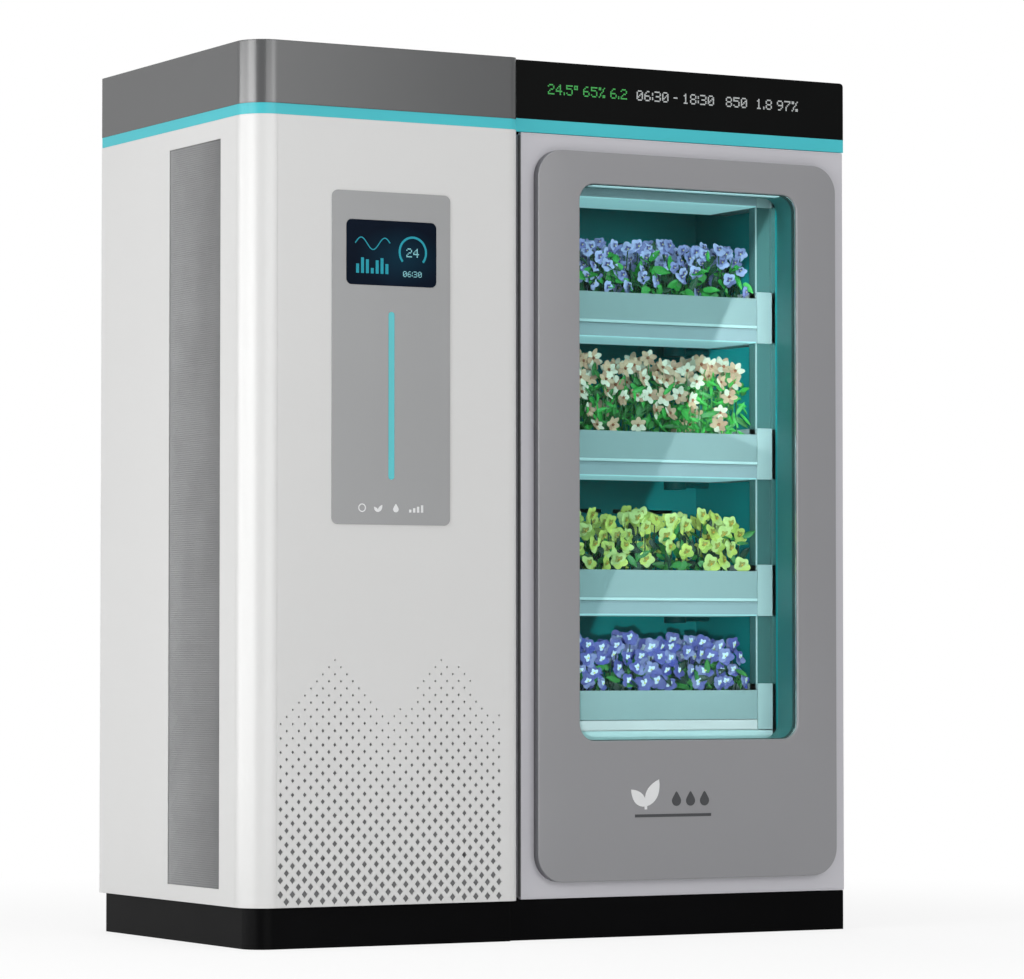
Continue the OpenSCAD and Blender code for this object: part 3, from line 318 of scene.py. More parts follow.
def piece(name, verts, faces, mats, body, indices=None, smooth=True, slot=None):
    """A new object that rides on a body. The slot argument is not used."""
    mesh = bpy.data.meshes.new(name)
    mesh.from_pydata([tuple(v) for v in verts], [], faces)
    for m in mats if isinstance(mats, list) else [mats]:
        mesh.materials.append(m)
    if indices:
        mesh.polygons.foreach_set("material_index", indices)
    mesh.polygons.foreach_set("use_smooth", [smooth] * len(mesh.polygons))
    mesh.update()
    obj = bpy.data.objects.new(name, mesh)
    bpy.context.scene.collection.objects.link(obj)
    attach(obj, body)
    return obj


def arc(cx, cz, r, a0, a1, n):
    """Points from angle a0 to a1, in degrees."""
    return [(cx + r * math.cos(math.radians(a0 + (a1 - a0) * i / n)),
             cz + r * math.sin(math.radians(a0 + (a1 - a0) * i / n))) for i in range(n + 1)]


def rect(x, z, w, h):
    """An upright rectangle, from its lower left corner."""
    return [(x, z), (x + w, z), (x + w, z + h), (x, z + h)]


def rounded(x0, x1, z0, z1, r, n=14):
    """A rectangle with rounded corners."""
    return (arc(x1 - r, z1 - r, r, 0, 90, n) + arc(x0 + r, z1 - r, r, 90, 180, n)
            + arc(x0 + r, z0 + r, r, 180, 270, n) + arc(x1 - r, z0 + r, r, 270, 360, n))


def loft(loops):
    """Joins closed loops of equal length into a closed ring of quads."""
    verts = [v for loop in loops for v in loop]
    n = len(loops[0])
    faces = []
    for a in range(len(loops)):
        b = (a + 1) % len(loops)
        for i in range(n):
            j = (i + 1) % n
            faces.append((a * n + i, a * n + j, b * n + j, b * n + i))
    return verts, faces


SLAB_STEP = 0.00002


def slabs(shapes, y, depth):
    """Flat outlines in the front plane as closed slabs, neighbours a hair apart in depth."""
    verts, faces = [], []
    for k, pts in enumerate(shapes):
        n, s, front = len(pts), len(verts), y - SLAB_STEP * (k % 3)
        verts += [(x, front, z) for x, z in pts] + [(x, y + depth, z) for x, z in pts]
        faces.append(tuple(range(s, s + n)))
        faces.append(tuple(range(s + 2 * n - 1, s + n - 1, -1)))
        faces += [(s + i, s + n + i, s + n + (i + 1) % n, s + (i + 1) % n) for i in range(n)]
    return verts, faces


def band(pts, width, closed=False):
    """A strip of quads of the given width along a path, each quad as its own outline."""
    out = []
    count = len(pts) if closed else len(pts) - 1
    sides = []
    for i, p in enumerate(pts):
        a = pts[i - 1] if closed or i else p
        b = pts[(i + 1) % len(pts)] if closed or i < len(pts) - 1 else p
        d = Vector((b[0] - a[0], b[1] - a[1])).normalized()
        w = Vector((-d.y, d.x)) * width / 2
        sides.append(((p[0] + w.x, p[1] + w.y), (p[0] - w.x, p[1] - w.y)))
    for i in range(count):
        j = (i + 1) % len(pts)
        out.append([sides[i][0], sides[i][1], sides[j][1], sides[j][0]])
    return out


def box_mesh(parts):
    """Plain boxes, each given by two corners, as one mesh."""
    verts, faces = [], []
    for lo, hi in parts:
        s = len(verts)
        verts += [(x, y, z) for x in (lo[0], hi[0]) for y in (lo[1], hi[1]) for z in (lo[2], hi[2])]
        faces += [tuple(s + i for i in q) for q in
                  ((0, 1, 3, 2), (4, 6, 7, 5), (0, 4, 5, 1), (2, 3, 7, 6), (0, 2, 6, 4), (1, 5, 7, 3))]
    return verts, faces


def soft_boxes(parts, radius):
    """Boxes with rounded edges, as one mesh."""
    bm = bmesh.new()
    for lo, hi in parts:
        cube = bmesh.ops.create_cube(bm, size=1.0)["verts"]
        for v in cube:
            v.co = [a + (b - a) * (c + 0.5) for a, b, c in zip(lo, hi, v.co)]
        edges = list({e for v in cube for e in v.link_edges})
        bmesh.ops.bevel(bm, geom=edges, offset=radius, segments=2, profile=0.5, affect="EDGES")
    bm.verts.index_update()
    verts = [v.co.copy() for v in bm.verts]
    faces = [tuple(v.index for v in f.verts) for f in bm.faces]
    bm.free()
    return verts, faces


def prism_x(profile, x0, x1):
    """A closed bar along X from an outline of (y, z) points."""
    n = len(profile)
    verts = [(x0, y, z) for y, z in profile] + [(x1, y, z) for y, z in profile]
    faces = [tuple(range(n)), tuple(range(2 * n - 1, n - 1, -1))]
    faces += [(i, n + i, n + (i + 1) % n, (i + 1) % n) for i in range(n)]
    return verts, faces


def joined(meshes):
    """Several lists of points and faces as one."""
    verts, faces = [], []
    for v, f in meshes:
        s = len(verts)
        verts += [tuple(p) for p in v]
        faces += [tuple(s + i for i in q) for q in f]
    return verts, faces


# Side intake: a frame with a fine woven mesh

MESH_FRAME_W, MESH_COLS, MESH_ROWS, HALF_WIRE = 0.014, 54, 350, 0.0009


def intake():
    lo, hi = corners("intake_grille")
    y0, y1 = lo.y + MESH_FRAME_W, hi.y - MESH_FRAME_W
    z0, z1 = lo.z + MESH_FRAME_W, hi.z - MESH_FRAME_W
    x = lo.x
    parts = [((x, lo.y, lo.z), (hi.x, y0, hi.z)), ((x, y1, lo.z), (hi.x, hi.y, hi.z)),
             ((x, y0, lo.z), (hi.x, y1, z0)), ((x, y0, z1), (hi.x, y1, hi.z))]
    for i in range(1, MESH_COLS):
        c = y0 + (y1 - y0) * i / MESH_COLS
        parts.append(((x + 0.0002, c - HALF_WIRE, z0), (x + 0.0012, c + HALF_WIRE, z1)))
    for j in range(1, MESH_ROWS):
        c = z0 + (z1 - z0) * j / MESH_ROWS
        parts.append(((x + 0.0008, y0, c - HALF_WIRE), (x + 0.0019, y1, c + HALF_WIRE)))
    verts, faces = box_mesh(parts)
    obj = piece("intake_mesh", verts, faces, MESH, "cabinet", smooth=False, slot="mesh_grey")
    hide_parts("intake_grille")


# Rack, lamp bars and the beads under the trays

RACK_W, RACK_T = 0.046, 0.003
UPRIGHT_W, UPRIGHT_D = 0.010, 0.081
PLATE_SET, PLATE_RETURN, PLATE_EDGE = 0.008, 0.024, 0.004
FRONT_H, BASE_FRONT_H = 0.065, 0.062
LIGHT_H, BASE_LIGHT_H, DIFFUSER_T = 0.030, 0.024, 0.003
LAMP_SET, BASE_SET = 0.002, 0.006
BRACKET_LIP = 0.014
GROOVE_H, GROOVE_D, SKIRT_H = 0.005, 0.002, 0.026
BEAD_H, BEAD_D = 0.0065, 0.002
TRAY_TOPS = [corners(f"grow_tray_{k}")[1].z for k in range(1, 5)]
LIGHT_LEVELS = [corners("light_housings")[1].z - LIGHT_H] + [z - FRONT_H - LIGHT_H for z in TRAY_TOPS[:3]]
BASE_LIGHT_Z = TRAY_TOPS[3] - BASE_FRONT_H - BASE_LIGHT_H


def rack():
    lo, hi = corners("rack_sides")
    back = corners("light_housings")[1].y
    spans = [(LIGHT_LEVELS[0], LIGHT_LEVELS[0] + LIGHT_H), (BASE_LIGHT_Z, TRAY_TOPS[3] + BRACKET_LIP)]
    spans += [(z, top + BRACKET_LIP) for z, top in zip(LIGHT_LEVELS[1:], TRAY_TOPS)]
    foot, head = BASE_LIGHT_Z, spans[0][1]
    posts, brackets = [], []
    for wall, way in ((lo.x, 1), (hi.x, -1)):
        inner = wall + way * RACK_W

        def slab(a, b, y0, y1, z0, z1):
            return (min(a, b), y0, z0), (max(a, b), y1, z1)

        plate = lo.y + PLATE_SET
        posts.append(slab(wall, wall + way * UPRIGHT_W, lo.y, lo.y + UPRIGHT_D, lo.z, hi.z))
        posts.append(slab(wall, inner, plate, plate + RACK_T, foot, head))
        posts.append(slab(inner, inner - way * RACK_T, plate + RACK_T / 2, plate + PLATE_RETURN, foot, head))
        brackets.append(slab(inner, inner - way * PLATE_EDGE, plate - 0.001, plate + 0.001, foot, head))
        for z0, z1 in spans:
            brackets.append(slab(wall, inner, lo.y, lo.y + RACK_T, z0, z1))
            brackets.append(slab(inner, inner - way * RACK_T, lo.y + RACK_T / 2, back, z0, z1))
            brackets.append(slab(wall, inner, lo.y + RACK_T / 2, back, z0, z0 + RACK_T))
    meshes = [soft_boxes(posts, 0.0006), soft_boxes(brackets, 0.0009)]
    index = [i for i, (_, faces) in enumerate(meshes) for _ in faces]
    obj = piece("rack_frame", *joined(meshes), [POST, RACK], "cabinet", indices=index, smooth=False,
                slot="rack_teal")
    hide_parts("rack_sides")


def lamp_bars():
    lo, hi = corners("light_housings")
    face, groove = lo.y + LAMP_SET, lo.y + LAMP_SET + GROOVE_D
    bars = []
    lip = [(face, LIGHT_LEVELS[0] + DIFFUSER_T), (face, LIGHT_LEVELS[0] + LIGHT_H)]
    bars.append(prism_x(lip + [(hi.y, z) for _, z in reversed(lip)], lo.x, hi.x))
    for z in LIGHT_LEVELS[1:]:
        low, top = z + DIFFUSER_T, z + LIGHT_H
        outline = [(face, low), (face, top - GROOVE_H), (groove, top - GROOVE_H), (groove, top), (hi.y, top),
                   (hi.y, low)]
        bars.append(prism_x(outline, lo.x, hi.x))
    front, low, top = lo.y + BASE_SET, BASE_LIGHT_Z + DIFFUSER_T, BASE_LIGHT_Z + BASE_LIGHT_H
    bars.append(prism_x([(front, low), (front, top), (hi.y, top), (hi.y, low)], lo.x, hi.x))
    side = corners("rack_sides")
    # The skirt takes the pale bead colour, as painted light.
    skirt = [((side[0].x, lo.y, BASE_LIGHT_Z - SKIRT_H), (side[1].x, lo.y + RACK_T, BASE_LIGHT_Z + 0.004))]
    bars.append(soft_boxes(skirt, 0.0008))
    index = [int(i == len(bars) - 1) for i, (_, faces) in enumerate(bars) for _ in faces]
    obj = piece("lamp_housings", *joined(bars), [HOUSING, BEAD_PAINTED_HIGHLIGHT], "cabinet", indices=index, smooth=False,
                slot="tray_teal")
    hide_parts("light_housings")

    lo, hi = corners("light_diffusers")
    plates = [((lo.x, lo.y + LAMP_SET, z), (hi.x, hi.y, z + DIFFUSER_T)) for z in LIGHT_LEVELS]
    base = [((lo.x, lo.y, BASE_LIGHT_Z + 0.0005), (hi.x, lo.y + BASE_SET, top - 0.0005))]
    meshes = [soft_boxes(plates, 0.0007), soft_boxes(base, 0.0012)]
    index = [i for i, (_, faces) in enumerate(meshes) for _ in faces]
    obj = piece("lamp_covers", *joined(meshes), [DIFFUSER, BASE_LAMP], "cabinet", indices=index, smooth=False,
                slot="light_white")
    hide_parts("light_diffusers")


# The beads' pale colour is a painted highlight line.
def tray_beads():
    for k in range(1, 4):
        lo, hi = corners(f"grow_tray_{k}")
        foot = hi.z - FRONT_H + 0.0006
        mid, r = foot + BEAD_H / 2, BEAD_H / 2
        bow = [(lo.y - BEAD_D * math.cos(a), mid + r * math.sin(a))
               for a in (math.radians(-90 + 22.5 * i) for i in range(9))]
        verts, faces = prism_x(bow + [(lo.y + 0.0005, mid + r), (lo.y + 0.0005, mid - r)], lo.x, hi.x)
        piece(f"tray_bead_{k}", verts, faces, BEAD_PAINTED_HIGHLIGHT, f"tray_{k}", smooth=False, slot="tray_teal")


# Raised bezel with rolled edges

BEZEL_R, BEZEL_ROLL, WINDOW_R, WINDOW_LIP = 0.058, 0.002, 0.036, 0.0025
SEAL_T, GLASS_GAP = 0.0016, 0.0002


def bezel():
    lo, hi = corners("door_bezel")
    g0, g1 = corners("door_glass")
    wx0, wx1, wz0, wz1 = g0.x - GLASS_GAP, g1.x + GLASS_GAP, g0.z - GLASS_GAP, g1.z + GLASS_GAP
    roll, lip = BEZEL_ROLL, WINDOW_LIP
    loops = []

    def outer(o, y):
        pts = rounded(lo.x + o, hi.x - o, lo.z + o, hi.z - o, BEZEL_R - o)
        loops.append([(px, y, pz) for px, pz in pts])

    def inner(o, y):
        pts = rounded(wx0 - o, wx1 + o, wz0 - o, wz1 + o, WINDOW_R + o)
        loops.append([(px, y, pz) for px, pz in pts])

    outer(0, hi.y)
    outer(0, lo.y + roll)
    for i in range(1, 7):
        a = math.radians(15 * i)
        outer(roll * (1 - math.cos(a)), lo.y + roll * (1 - math.sin(a)))
    inner(lip + 0.0005, lo.y)
    for i in range(0, 5):
        a = math.radians(22.5 * i)
        inner(lip * (1 - math.sin(a)), lo.y + lip * (1 - math.cos(a)))
    inner(0, hi.y)
    verts, faces = loft(loops)
    index = [1 if i < len(loops[0]) else 0 for i in range(len(faces))]
    obj = piece("bezel_shell", verts, faces, [BEZEL, BEZEL_SIDE], "door", indices=index, slot="bezel_grey")
    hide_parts("door_bezel")

    loops.clear()
    near, far = g1.y + 0.0005, g1.y + 0.0085
    for o, y in ((0.0, near), (0.0, far), (-SEAL_T, far), (-SEAL_T, near)):
        inner(o, y)
    verts, faces = loft(loops)
    piece("window_seal", verts, faces, SEAL_TEAL, "door", smooth=False, slot="seal_rubber")
    # The trim glows as painted light along the shaded top of the window.
    trim = [((wx0 + WINDOW_R, g1.y + 0.0006, wz1 - 0.0036), (wx1 - WINDOW_R, g1.y + 0.020, wz1 - 0.0004))]
    piece("window_trim", *soft_boxes(trim, 0.0008), TRIM_PAINTED_GLOW, "door", smooth=False, slot="deck_white")


# Edges of the door and the cloth behind the perforations

def door_edges():
    lo, hi = corners("door_frame")
    lip, reach, thick = 0.0034, 0.012, 0.0008
    lips = [((lo.x, lo.y, hi.z - 0.001), (hi.x, lo.y + reach, hi.z + lip)),
            ((lo.x, lo.y, lo.z - lip), (hi.x, lo.y + reach, lo.z + 0.001))]
    piece("door_lips", *soft_boxes(lips, 0.0008), DOOR_WHITE, "door", smooth=False, slot="white_paint")
    strip = [((lo.x - thick, lo.y + 0.0012, lo.z + 0.002), (lo.x + thick, lo.y + reach, hi.z - 0.002))]
    piece("grip_strip", *soft_boxes(strip, 0.0004), GRIP, "door", smooth=False, slot="seal_rubber")


def perforation_cloth():
    lo, hi = corners("service_front_panel")
    edge, top, hem = 0.003, lo.z + 0.52, 0.006
    x0, x1, z0, y = lo.x + edge, hi.x - edge, lo.z + edge, hi.y + 0.0002
    near, far = y + 0.0005, y + 0.002
    parts = [((x0, y, z0), (x1, y + 0.001, top)), ((x0, near, z0), (x0 + hem, far, top)),
             ((x1 - hem, near, z0), (x1, far, top)), ((x0, near, z0), (x1, far, z0 + hem)),
             ((x0, near, top - hem), (x1, far, top))]
    piece("perforation_cloth", *soft_boxes(parts, 0.0002), DUST_CLOTH, "cabinet", smooth=False,
          slot="mesh_grey")


# Printed and lit marks, all generic

DIGITS = {
    "0": "01110 10001 10011 10101 11001 10001 01110", "1": "00100 01100 00100 00100 00100 00100 01110",
    "2": "01110 10001 00001 00110 01000 10000 11111", "3": "11110 00001 00001 01110 00001 00001 11110",
    "4": "00010 00110 01010 10010 11111 00010 00010", "5": "11111 10000 11110 00001 00001 10001 01110",
    "6": "00110 01000 10000 11110 10001 10001 01110", "7": "11111 00001 00010 00100 01000 01000 01000",
    "8": "01110 10001 10001 01110 10001 10001 01110", "9": "01110 10001 10001 01111 00001 00010 01100",
    ":": "0 1 1 0 1 1 0", ".": "0 0 0 0 0 1 1", "%": "11001 11010 00010 00100 01000 01011 10011",
    "*": "111 101 111 000 000 000 000", "-": "000 000 000 111 000 000 000", " ": "00 00 00 00 00 00 00",
}


def readout(text, x, z, cell, fill=0.84):
    """Dot matrix figures as small squares, starting at x with their foot at z."""
    shapes = []
    for ch in text:
        rows = DIGITS[ch].split()
        for r, row in enumerate(rows):
            for c, bit in enumerate(row):
                if bit == "1":
                    shapes.append(rect(x + c * cell, z + (6 - r) * cell, cell * fill, cell * fill))
        x += (len(rows[0]) + 1) * cell
    return shapes, x


def drop_shape(cx, cz, r, n=20):
    """A water drop's outline."""
    pts = []
    for i in range(n):
        a = 2 * math.pi * i / n
        pinch = max(0.0, math.sin(a)) ** 3
        pts.append((cx + r * math.cos(a) * (1 - 0.35 * pinch), cz + r * math.sin(a) * (1 + 0.75 * pinch)))
    return pts


def leaf_shape(cx, cz, length, width, turn, n=9):
    """A leaf's outline, turned about its foot."""
    pts = []
    for s in (1, -1):
        for i in range(n):
            t = i / n if s > 0 else 1 - i / n
            w = s * width * math.sin(math.pi * t) ** 0.8 * (1 - 0.25 * t)
            pts.append((t * length, w))
    ca, sa = math.cos(turn), math.sin(turn)
    return [(cx + a * ca - b * sa, cz + a * sa + b * ca) for a, b in pts]


HEADER_CELL, INK_T, SCREEN_INK_T = 0.0031, 0.0006, 0.0003
# Place of the bezel's sign: from the bezel's left edge, and above the floor
SIGN_X, SIGN_Z = 0.224, 0.246


def marks():
    skin = INK_T
    lo = corners("grow_header")[0]
    y = lo.y
    x, z = lo.x + 0.080, lo.z + 0.054
    shapes, x = readout("24.5* 65% 6.2", x, z, HEADER_CELL)
    verts, faces = slabs(shapes, y - skin, skin)
    piece("header_readout_green", verts, faces, LED_GREEN, "cabinet", smooth=False, slot="status_lens")
    shapes, x = readout("06:30 - 18:30", x + 0.020, z, HEADER_CELL)
    more, x = readout("850  1.8 97%", x + 0.026, z, HEADER_CELL)
    verts, faces = slabs(shapes + more, y - skin, skin)
    piece("header_readout_white", verts, faces, LED_WHITE, "cabinet", smooth=False, slot="deck_white")

    lo, hi = corners("control_fascia")
    cx, y, z = (lo.x + hi.x) / 2, lo.y, lo.z + 0.033
    shapes = band(arc(cx - 0.066, z, 0.0075, 0, 360, 20)[:-1], 0.0022, True)
    shapes += [leaf_shape(cx - 0.030, z - 0.008, 0.017, 0.0042, 1.0),
               leaf_shape(cx - 0.030, z - 0.008, 0.014, 0.0036, 2.3)]
    shapes.append(drop_shape(cx + 0.010, z - 0.002, 0.0062))
    shapes += [rect(cx + 0.040 + i * 0.009, z - 0.008, 0.005, 0.006 + i * 0.003) for i in range(4)]
    verts, faces = slabs(shapes, y - skin, skin)
    piece("fascia_signs", verts, faces, INK_WHITE, "cabinet", smooth=False, slot="deck_white")

    lo = corners("door_bezel")[0]
    x, y, z = lo.x + SIGN_X, lo.y, SIGN_Z
    shapes = [leaf_shape(x + 0.030, z + 0.022, 0.064, 0.016, 1.05),
              leaf_shape(x + 0.030, z + 0.022, 0.050, 0.014, 2.35)]
    shapes += band([(x + 0.030, z + 0.016), (x + 0.030, z + 0.038)], 0.006)
    verts, faces = slabs(shapes, y - skin, skin)
    piece("bezel_sprout", verts, faces, INK_WHITE, "door", smooth=False, slot="deck_white")
    shapes = [drop_shape(x + 0.104 + i * 0.034, z + 0.033, 0.011) for i in range(3)]
    shapes.append(rect(x + 0.004, z, 0.184, 0.006))
    verts, faces = slabs(shapes, y - skin, skin)
    piece("bezel_underline", verts, faces, INK_DARK, "door", smooth=False, slot="seal_rubber")

    lo, hi = corners("display_screen")
    mid, y = (lo + hi) / 2, lo.y
    ring = arc(mid.x + 0.048, mid.z + 0.004, 0.030, -40, 220, 40)
    shapes = band(ring, 0.0045)
    for i in range(7):
        h = 0.010 + 0.022 * abs(math.sin(0.9 * i + 0.4))
        shapes.append(rect(mid.x - 0.080 + i * 0.011, mid.z - 0.042, 0.0065, h))
    wave = [(mid.x - 0.082 + 0.0028 * i, mid.z + 0.018 + 0.012 * math.sin(i * 0.33)) for i in range(29)]
    shapes += band(wave, 0.0022)
    verts, faces = slabs(shapes, y - SCREEN_INK_T, SCREEN_INK_T)
    piece("screen_gauges", verts, faces, TEAL_INK, "cabinet", smooth=False, slot="status_lens")
    shapes, _ = readout("24", mid.x + 0.0335, mid.z - 0.006, 0.0026)
    more, _ = readout("06:30", mid.x + 0.026, mid.z - 0.046, 0.0017)
    verts, faces = slabs(shapes + more, y - SCREEN_INK_T, SCREEN_INK_T)
    piece("screen_figures", verts, faces, PALE_INK, "cabinet", smooth=False, slot="deck_white")


# Flowers and leaves

def petal_grid(length, width, curl, cup, neck=0.16, nu=4, nv=2, reach=0.86, bow=0.10):
    """One petal as a small curved grid, out along +X from the middle, +Z up out of the face."""
    verts, faces = [], []
    for i in range(nu + 1):
        t = i / nu
        w = width * (neck + (1 - neck) * math.sin(math.pi * min(1.0, 0.1 + reach * t)) ** 0.75)
        for j in range(-nv, nv + 1):
            s = j / nv
            px = length * t * (1 - bow * s * s)
            pz = curl * t * t - cup * s * s * t
            verts.append((px, s * w / 2, pz))
    m = 2 * nv + 1
    for i in range(nu):
        for j in range(m - 1):
            a = i * m + j
            faces.append((a, a + 1, a + m + 1, a + m))
    return verts, faces


class Bed:
    """Gathers petals, leaves and stems of one shelf into one mesh."""

    def __init__(self):
        self.verts, self.faces, self.index = [], [], []

    def add(self, verts, faces, matrix, mat):
        s = len(self.verts)
        self.verts += [matrix @ Vector(v) for v in verts]
        self.faces += [tuple(s + i for i in f) for f in faces]
        self.index += [mat] * len(faces)


def frame_to(normal, spin):
    """A turn that brings +Z onto the normal, after a spin about +Z."""
    z = Vector(normal).normalized()
    x = z.orthogonal().normalized()
    y = z.cross(x)
    basis = Matrix((x, y, z)).transposed()
    return basis.to_4x4() @ Matrix.Rotation(spin, 4, "Z")


def dome(r, h, n=8):
    """A low open cap, for the heart of a bloom."""
    ring = [(math.cos(2 * math.pi * i / n), math.sin(2 * math.pi * i / n)) for i in range(n)]
    verts = [(0, 0, h)] + [(r * 0.7 * a, r * 0.7 * b, h * 0.7) for a, b in ring]
    verts += [(r * a, r * b, 0) for a, b in ring]
    faces = [(0, 1 + i, 1 + (i + 1) % n) for i in range(n)]
    faces += [(1 + i, 1 + n + i, 1 + n + (i + 1) % n, 1 + (i + 1) % n) for i in range(n)]
    return verts, faces


# Turn, size and lift of each petal, then 0 for the upper colour or 1 for the lower
PANSY_PETALS = ((140, 1.0, -0.0010, 0), (220, 1.0, -0.0006, 0), (78, 0.92, 0.0004, 1), (282, 0.92, 0.0008, 1),
                (0, 1.05, 0.0014, 1))


def pansy(bed, rng, place, normal, size):
    """Five broad petals: two behind, two at the sides, one below, with a dark-edged eye."""
    m = Matrix.Translation(place) @ frame_to(normal, rng.uniform(-0.35, 0.35) - math.pi / 2)
    tints = rng.choice(((0, 1), (1, 0), (6, 0), (6, 1), (0, 0)))
    for turn, grow, lift, part in PANSY_PETALS:
        verts, faces = petal_grid(size * 0.54 * grow, size * 0.52 * grow, size * rng.uniform(-0.06, 0.12),
                                  size * 0.07, reach=0.68, bow=0.24)
        spin = Matrix.Rotation(math.radians(turn + rng.uniform(-9, 9)), 4, "Z")
        bed.add(verts, faces, m @ Matrix.Translation((0, 0, lift)) @ spin, tints[part])
    verts, faces = petal_grid(size * 0.26, size * 0.2, 0.001, 0.0)
    eye = m @ Matrix.Translation((0, 0, 0.0030))
    for turn in (78, 282, 0):
        bed.add(verts, faces, eye @ Matrix.Rotation(math.radians(turn), 4, "Z"), 2)
    verts, faces = dome(size * 0.06, size * 0.06)
    bed.add(verts, faces, m @ Matrix.Translation((0, 0, 0.0035)), 3)


THREAD_TURN = 1.2566


def trumpet(bed, rng, place, normal, size):
    """Six narrow petals that flare, for the spikes of the second shelf."""
    m = Matrix.Translation(place) @ frame_to(normal, rng.uniform(0, 6.28))
    for i in range(6):
        curl = size * rng.uniform(0.02, 0.22)
        verts, faces = petal_grid(size * 0.55, size * 0.38, curl, size * 0.03, neck=0.4)
        bed.add(verts, faces, m @ Matrix.Rotation(i * math.pi / 3, 4, "Z"), rng.choice((0, 0, 1, 1, 6)))
    verts, faces = dome(size * 0.10, size * 0.12)
    bed.add(verts, faces, m @ Matrix.Translation((0, 0, 0.001)), 2)
    for i in range(5):
        verts, faces = petal_grid(size * 0.22, size * 0.03, size * 0.14, 0)
        bed.add(verts, faces, m @ Matrix.Rotation(i * THREAD_TURN, 4, "Z"), 3)


def leaf(bed, rng, place, normal, size, slim):
    """One leaf, in either of the shelf's two greens."""
    m = Matrix.Translation(place) @ frame_to(normal, rng.uniform(0, 6.28))
    verts, faces = petal_grid(size, size * slim, size * rng.uniform(-0.2, 0.15), -size * 0.10, neck=0.1, nu=5)
    bed.add(verts, faces, m, 4 if rng.random() < 0.6 else 5)


def stem(bed, foot, top, r=0.0014):
    """A thin stem with a slight bow to the front."""
    foot, top = Vector(foot), Vector(top)
    verts, faces = [], []
    for i in range(4):
        t = i / 3
        c = foot.lerp(top, t) + Vector((0, -0.004 * math.sin(math.pi * t), 0))
        for j in range(5):
            a = 2 * math.pi * j / 5
            verts.append((c.x + r * math.cos(a), c.y + r * math.sin(a), c.z))
    for i in range(3):
        for j in range(5):
            faces.append((i * 5 + j, i * 5 + (j + 1) % 5, (i + 1) * 5 + (j + 1) % 5, (i + 1) * 5 + j))
    bed.add(verts, faces, Matrix.Identity(4), 5)


def green(name, rgb, var):
    return material(name, lin(*rgb), 0.5, var=var, scale=40, grain=700, bump=0.25, edge=0)


def petal(name, rgb):
    return material(name, lin(*rgb), 0.6, var=0.14, scale=55, grain=900, bump=0.12, edge=0)


GREEN_A = green("leaf_green", (52, 122, 52), 0.25)
GREEN_B = green("leaf_deep_green", (24, 74, 40), 0.3)
GREEN_C = green("leaf_bright_green", (62, 168, 66), 0.22)
GREEN_D = green("leaf_dark_green", (18, 52, 36), 0.3)
# In mats: two petal colours, eye, heart, two leaf greens, a third petal colour
BEDS = [
    {"kind": pansy, "size": 0.029, "height": 0.118, "cols": 15, "rows": (0.35, 0.55, 0.8, 0.95, 1.0),
     "leaves": 260, "leaf_top": 0.8, "slim": 0.45, "bloom": "lilac_bloom",
     "mats": [petal("lilac_petal", (200, 192, 240)), petal("mauve_petal", (162, 156, 214)),
              petal("lilac_eye", (104, 88, 150)), petal("lilac_heart", (230, 210, 140)), GREEN_C, GREEN_B,
              petal("plum_petal", (128, 120, 180))]},
    {"kind": trumpet, "size": 0.036, "height": 0.168, "cols": 13, "rows": (0.2, 0.4, 0.75, 0.95, 1.0),
     "leaves": 460, "leaf_top": 0.74, "slim": 0.30, "bloom": "cream_bloom",
     "mats": [petal("cream_petal", (246, 222, 202)), petal("peach_petal", (222, 174, 144)),
              petal("peach_heart", (160, 88, 60)), petal("peach_thread", (204, 156, 100)), GREEN_C, GREEN_A,
              petal("tan_petal", (198, 146, 120))]},
    {"kind": pansy, "size": 0.038, "height": 0.131, "cols": 11, "rows": (0.75, 0.8, 0.8, 1.0),
     "leaves": 220, "leaf_top": 0.7, "slim": 0.42, "bloom": "yellow_bloom",
     "mats": [petal("yellow_petal", (202, 205, 97)), petal("lemon_petal", (200, 207, 125)),
              petal("yellow_eye", (158, 142, 56)), petal("yellow_heart", (214, 150, 50)), GREEN_A, GREEN_D,
              petal("olive_petal", (164, 176, 70))]},
    {"kind": pansy, "size": 0.036, "height": 0.120, "cols": 12, "rows": (0.7, 0.95, 1.0, 1.0),
     "leaves": 200, "leaf_top": 0.5, "slim": 0.42, "bloom": "blue_bloom",
     "mats": [petal("blue_petal", (90, 83, 156)), petal("violet_petal", (131, 125, 177)),
              petal("white_eye", (220, 218, 240)), petal("blue_heart", (230, 218, 130)), GREEN_A, GREEN_D,
              petal("indigo_petal", (76, 72, 160))]},
]
SHELF_SEED = 40
LAYERS, LAYER_STEP = 3, 0.034
BED_SETBACK = 0.018


